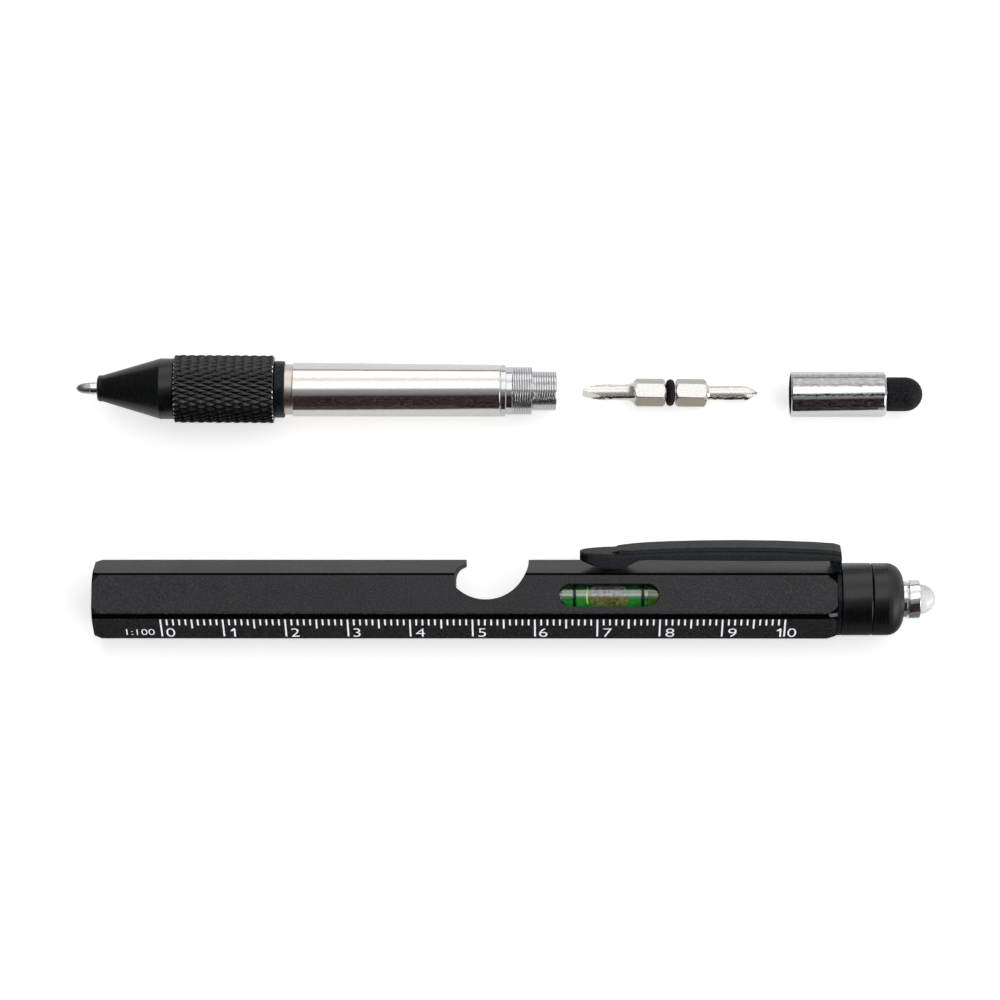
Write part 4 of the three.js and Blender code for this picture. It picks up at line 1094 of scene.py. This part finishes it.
class PEN_OT_bit_holder(PieceOperator, bpy.types.Operator):
    """Cut the threads of the bit holder"""
    bl_idname = "pen.bit_holder"
    bl_label = "Bit holder"

    def make(self, pen):
        thread = pen.thread
        ring_start, ring_end, neck_end = 69.0 * MM, 69.9 * MM, 71.25 * MM
        large_end, small_end = 74.2 * MM, 78.15 * MM
        ring, neck, large, small = 4.225 * MM, 3.85 * MM, 3.95 * MM, 3.225 * MM
        edge = 0.1 * MM
        shank_start, shank = 58.3 * MM, 3.45 * MM
        socket, socket_edge, flat = 60.15 * MM, 0.3 * MM, 2.2 * MM
        rings = [(shank_start, 0), (shank_start, shank), (ring_start, shank), (ring_start, ring - edge),
                 (ring_start + edge, ring), (ring_end - edge, ring), (ring_end, ring - edge),
                 (ring_end, neck), *self.thread_rings(neck_end - thread.pitch, large_end, large, thread),
                 *self.thread_rings(large_end, small_end, small, thread),
                 (small_end, hexagon(1.12 * flat)), (small_end - socket_edge, hexagon(flat)),
                 (socket, hexagon(flat)), (socket, 0)]
        steel = turned_stainless("turned steel, bit holder", linear("D4D5D6"), (0.1, 0.18))
        piece = new_piece("threaded_holder", *skin(rings, 96), insert_axes(), steel, "insert",
                          "bit_holder", "bright_chrome")
        smooth(piece, 35)

    def thread_rings(self, start, end, crest, thread):
        """Rings of a helical thread that runs out at both ends."""
        steps = round((end - start) / thread.pitch * 10)
        rings = []
        for i in range(steps + 1):
            along = start + (end - start) * i / steps
            share = min(1.0, (along - start) / thread.pitch, (end - along) / (thread.pitch * 0.5))
            depth = thread.depth * (0.35 + 0.65 * max(0.0, share))
            rings.append((along, self.crests(along, crest, depth, thread)))
        return rings

    def crests(self, along, crest, depth, thread):
        """The outline of a helical thread at one place along it."""
        def reach(angle):
            turns = along / thread.pitch - angle / math.tau
            return crest - depth * (1 - min(1.0, 1.7 * zigzag(turns)))
        return reach


def hexagon(flat):
    """The outline of a hexagon, from its middle to a flat."""
    return lambda angle: flat / math.cos((angle + math.pi / 2) % (math.pi / 3) - math.pi / 6)


class PEN_OT_driver_bit(PieceOperator, bpy.types.Operator):
    """Finish the driver bit and its rubber ring"""
    bl_idname = "pen.driver_bit"
    bl_label = "Driver bit"

    def make(self, pen):
        nickel = pen.finish.nickel
        bit = finish_node("driver_bit", nickel_plate("nickel plate, driver bit", nickel), 0.06 * MM)
        place = self.bit_axes(bit)
        shank_radius = 1.85 * MM

        def on_shank(normal, middle):
            return from_axis(middle) < shank_radius and abs(normal.x) < 0.9

        def on_flat(low, high):
            return lambda normal, middle: (not on_shank(normal, middle) and abs(normal.x) < 0.3
                                           and low < turn_about_x(normal) < high)

        finish_faces(bit, place, forged_nickel("nickel plate, forged shank", nickel, place), on_shank)
        # The blade's flats are darker copies of the nickel, chosen by the way they face: painted shade,
        # deepest on the flat that faces the near side
        for name, code, low, high in (("nickel plate, lower flat in deep painted shade", "AFA69B", -100, -20),
                                      ("nickel plate, upper flat in light painted shade", "C6C0B8", 20, 100)):
            finish_faces(bit, place, nickel_plate(name, linear(code), 0.26, (0.2, 0.3), 0.5),
                         on_flat(low, high))
        finish_node("bit_o_ring", moulded_rubber("nitrile rubber, ring", pen.finish.rubber))

    def bit_axes(self, bit):
        """The bit's own axes, from the middles of its two ends."""
        points = sorted((bit.matrix_world @ v.co for v in bit.data.vertices), key=lambda p: p.x)
        reach = 4 * MM
        left = self.middle_of([p for p in points if p.x < points[0].x + reach])
        right = self.middle_of([p for p in points if p.x > points[-1].x - reach])
        return axes_at((left + right) / 2, right - left)

    def middle_of(self, points):
        """The middle of the points of one end."""
        ys, zs = [p.y for p in points], [p.z for p in points]
        return Vector((sum(p.x for p in points) / len(points), (min(ys) + max(ys)) / 2,
                       (min(zs) + max(zs)) / 2))


class PEN_OT_stylus_cap(PieceOperator, bpy.types.Operator):
    """Finish the stylus cap and its rubber tip"""
    bl_idname = "pen.stylus_cap"
    bl_label = "Stylus cap"

    def make(self, pen):
        low, high = (frame["nodes"]["stylus_sleeve"].matrix_world.inverted() @ Vector(corner)
                     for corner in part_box("stylus_sleeve"))
        radius = (high.y - low.y) / 2
        # the cap's chrome carries painted reflections: a grey band and a brown line
        with_painted_bands = chrome_plate("chrome plate, stylus cap", pen.finish.chrome, ((low + high) / 2, radius))
        sleeve = finish_node("stylus_sleeve", with_painted_bands, 0.06 * MM)
        middle = sum((Vector(corner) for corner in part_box("stylus_sleeve")), Vector()) / 2
        # the bore inside the cap is a darker copy of the chrome: painted shade
        inside = chrome_plate("chrome plate, inside of the cap in painted shade", tinted(pen.finish.chrome, 0.5))
        finish_faces(sleeve, Matrix.Translation(middle), inside,
                     lambda normal, centre: from_axis(centre) < 0.95 * radius and abs(normal.x) < 0.5)
        finish_node("stylus_tip", moulded_rubber("conductive silicone, stylus", pen.finish.rubber))


class PEN_OT_studio(PieceOperator, bpy.types.Operator):
    """Set up the floor, the softbox and the camera"""
    bl_idname = "pen.studio"
    bl_label = "Studio"

    def make(self, pen):
        self.floor(pen.studio)
        self.light(pen.studio)
        self.fill(pen.studio)
        self.camera(pen.studio)
        bpy.context.scene.view_settings.view_transform = "Standard"

    def floor(self, studio):
        """A white sweep, paler to the camera than in the metal, that keeps the soft shadows."""
        half = studio.floor_size / 2
        mesh = bpy.data.meshes.new("floor")
        mesh.from_pydata([(-half, -half, 0), (half, -half, 0), (half, half, 0), (-half, half, 0)], [],
                         [(0, 1, 2, 3)])
        floor = bpy.data.objects.new("floor", mesh)
        bpy.context.scene.collection.objects.link(floor)
        material, tree = new_material("white floor")
        path = add_node(tree, "ShaderNodeLightPath")
        mirrored = add_node(tree, "ShaderNodeMath", {
            0: path.outputs["Is Glossy Ray"], 1: path.outputs["Is Transmission Ray"],
        }, operation="MAXIMUM")
        camera_glow, mirror_glow = 0.38, 0.09
        in_metal = add_node(tree, "ShaderNodeMath", {0: mirrored.outputs["Value"], 1: mirror_glow},
                            operation="MULTIPLY")
        glow_level = add_node(tree, "ShaderNodeMath", {
            0: path.outputs["Is Camera Ray"], 1: camera_glow, 2: in_metal.outputs["Value"],
        }, operation="MULTIPLY_ADD")
        place = add_node(tree, "ShaderNodeTexCoord")
        parts = add_node(tree, "ShaderNodeSeparateXYZ", {"Vector": place.outputs["Object"]})
        warm_white, far_white, near_grey = ((1.0, 0.985, 0.965, 1.0), (0.9, 0.9, 0.9, 1.0),
                                            (0.1, 0.1, 0.1, 1.0))
        sweep = shades(tree, parts.outputs["Y"], far_white, near_grey, -21 * MM, -26 * MM)
        paint = shades(tree, mirrored.outputs["Value"], warm_white, sweep, 0.0, 1.0)
        matt = add_node(tree, "ShaderNodeBsdfDiffuse", {"Color": paint})
        glow = add_node(tree, "ShaderNodeEmission", {"Strength": glow_level.outputs["Value"]})
        both = add_node(tree, "ShaderNodeAddShader", {
            0: matt.outputs["BSDF"], 1: glow.outputs["Emission"],
        })
        add_node(tree, "ShaderNodeOutputMaterial", {"Surface": both.outputs["Shader"]})
        mesh.materials.append(material)

    def light(self, studio):
        """A softbox from overhead down to the far side, with the near side left dark."""
        world = bpy.data.worlds.new("studio")
        world.use_nodes = True
        tree = world.node_tree
        tree.nodes.clear()
        place = add_node(tree, "ShaderNodeTexCoord")
        parts = add_node(tree, "ShaderNodeSeparateXYZ", {"Vector": place.outputs["Generated"]})
        angle = add_node(tree, "ShaderNodeMath", {0: parts.outputs["Y"], 1: parts.outputs["Z"]},
                         operation="ARCTAN2")
        turn = spread(tree, angle.outputs["Value"], 0.0, 1.0, -math.pi, math.pi)
        middle = self.bands(tree, turn, [
            (-180, "080808"), (-98, "080808"), (-94, "221213"), (-36, "221213"), (-31, "5E5E60"),
            (-6, "8E8E90"), (-1, "F9FBFF"), (28, "F9FBFF"), (30, "DED4CE"), (44, "DED4CE"),
            (46, "F9FBFF"), (81, "F9FBFF"), (83, "6E6058"), (92, "6E6058"), (180, "222222")])
        right = self.bands(tree, turn, [
            (-180, "080808"), (-92, "080808"), (-84, "FFFFFF"), (-30, "FFFFFF"), (-16, "6C6C6C"),
            (70, "6C6C6C"), (80, "222222"), (180, "222222")])
        to_right = spread(tree, parts.outputs["X"], 0.0, 1.0, 0.55, 0.7)
        lit = shades(tree, to_right, middle, right, 0.0, 1.0)
        level = add_node(tree, "ShaderNodeMath", {
            0: to_right, 1: studio.softbox_level * 1.6, 2: studio.softbox_level,
        }, operation="MULTIPLY_ADD")
        light = add_node(tree, "ShaderNodeBackground", {
            "Color": shades(tree, parts.outputs["X"], lit, linear("404042"), -0.14, -0.42),
            "Strength": level.outputs["Value"],
        })
        white = add_node(tree, "ShaderNodeBackground", {"Color": (1.0, 1.0, 1.0, 1.0)})
        path = add_node(tree, "ShaderNodeLightPath")
        mix = add_node(tree, "ShaderNodeMixShader", {
            "Fac": path.outputs["Is Camera Ray"], 1: light.outputs["Background"],
            2: white.outputs["Background"],
        })
        add_node(tree, "ShaderNodeOutputWorld", {"Surface": mix.outputs["Shader"]})
        bpy.context.scene.world = world

    def fill(self, studio):
        """A low, soft fill from the near side, for print and lens. Mirrors don't show it."""
        data = bpy.data.lights.new("fill", "SUN")
        data.energy = studio.fill_level
        data.angle = math.radians(25)
        data.use_shadow = False
        lamp = bpy.data.objects.new("fill", data)
        towards_lamp = Vector((0.3, -0.87, 0.37))
        lamp.rotation_euler = towards_lamp.to_track_quat("Z", "Y").to_euler()
        lamp.visible_glossy = False
        bpy.context.scene.collection.objects.link(lamp)

    def bands(self, tree, turn, stops):
        """Colours round the X axis, each at its angle from overhead towards the far side."""
        bands = add_node(tree, "ShaderNodeValToRGB", {"Fac": turn})
        ramp = bands.color_ramp
        while len(ramp.elements) < len(stops):
            ramp.elements.new(0.5)
        for element, (degrees, code) in zip(ramp.elements, stops):
            element.position = (degrees + 180) / 360
            element.color = linear(code)
        return bands.outputs["Color"]

    def camera(self, studio):
        """The photograph's camera, above the near edge of the table."""
        data = bpy.data.cameras.new("camera")
        data.sensor_width = 36.0
        data.lens = studio.camera_lens
        data.clip_start = 0.01
        data.clip_end = 20.0
        camera = bpy.data.objects.new("camera", data)
        bpy.context.scene.collection.objects.link(camera)
        place = Vector(studio.camera_place)
        back = (place - Vector(studio.camera_aim)).normalized()
        right = (Vector((1, 0, 0)) - back * back.x).normalized()
        camera.matrix_world = Matrix((right, back.cross(right), back)).transposed().to_4x4()
        camera.location = place
        bpy.context.scene.camera = camera


PIECES = (
    PEN_OT_barrel, PEN_OT_ruler, PEN_OT_level, PEN_OT_clip, PEN_OT_lamp_head, PEN_OT_lamp,
    PEN_OT_writing_end, PEN_OT_grip, PEN_OT_handle, PEN_OT_bit_holder, PEN_OT_driver_bit,
    PEN_OT_stylus_cap,
)


class PEN_PT_pieces(bpy.types.Panel):
    """Pieces of the pen"""
    bl_label = "Multi Tool Pen"
    bl_idname = "PEN_PT_pieces"
    bl_space_type = "VIEW_3D"
    bl_region_type = "UI"
    bl_category = "Pen"

    def draw(self, context):
        for operator in (PEN_OT_studio,) + PIECES:
            self.layout.operator(operator.bl_idname)
        for group in ("studio", "finish", "ruler", "level", "grip", "thread"):
            settings = getattr(context.scene.pen, group)
            box = self.layout.box()
            for name in settings.__annotations__:
                box.prop(settings, name)


CLASSES = (
    StudioSettings, FinishSettings, RulerSettings, LevelSettings, GripSettings, ThreadSettings,
    PenSettings, PEN_OT_studio, *PIECES, PEN_PT_pieces,
)


def register():
    for cls in CLASSES:
        bpy.utils.register_class(cls)
    bpy.types.Scene.pen = PointerProperty(type=PenSettings)


def unregister():
    del bpy.types.Scene.pen
    for cls in reversed(CLASSES):
        bpy.utils.unregister_class(cls)


def main():
    register()
    bpy.ops.pen.studio()
    bpy.ops.pen.barrel()
    bpy.ops.pen.ruler()
    bpy.ops.pen.level()
    bpy.ops.pen.clip()
    bpy.ops.pen.lamp_head()
    bpy.ops.pen.lamp()
    bpy.ops.pen.writing_end()
    bpy.ops.pen.grip()
    bpy.ops.pen.handle()
    bpy.ops.pen.bit_holder()
    bpy.ops.pen.driver_bit()
    bpy.ops.pen.stylus_cap()


if __name__ == "__main__":
    main()
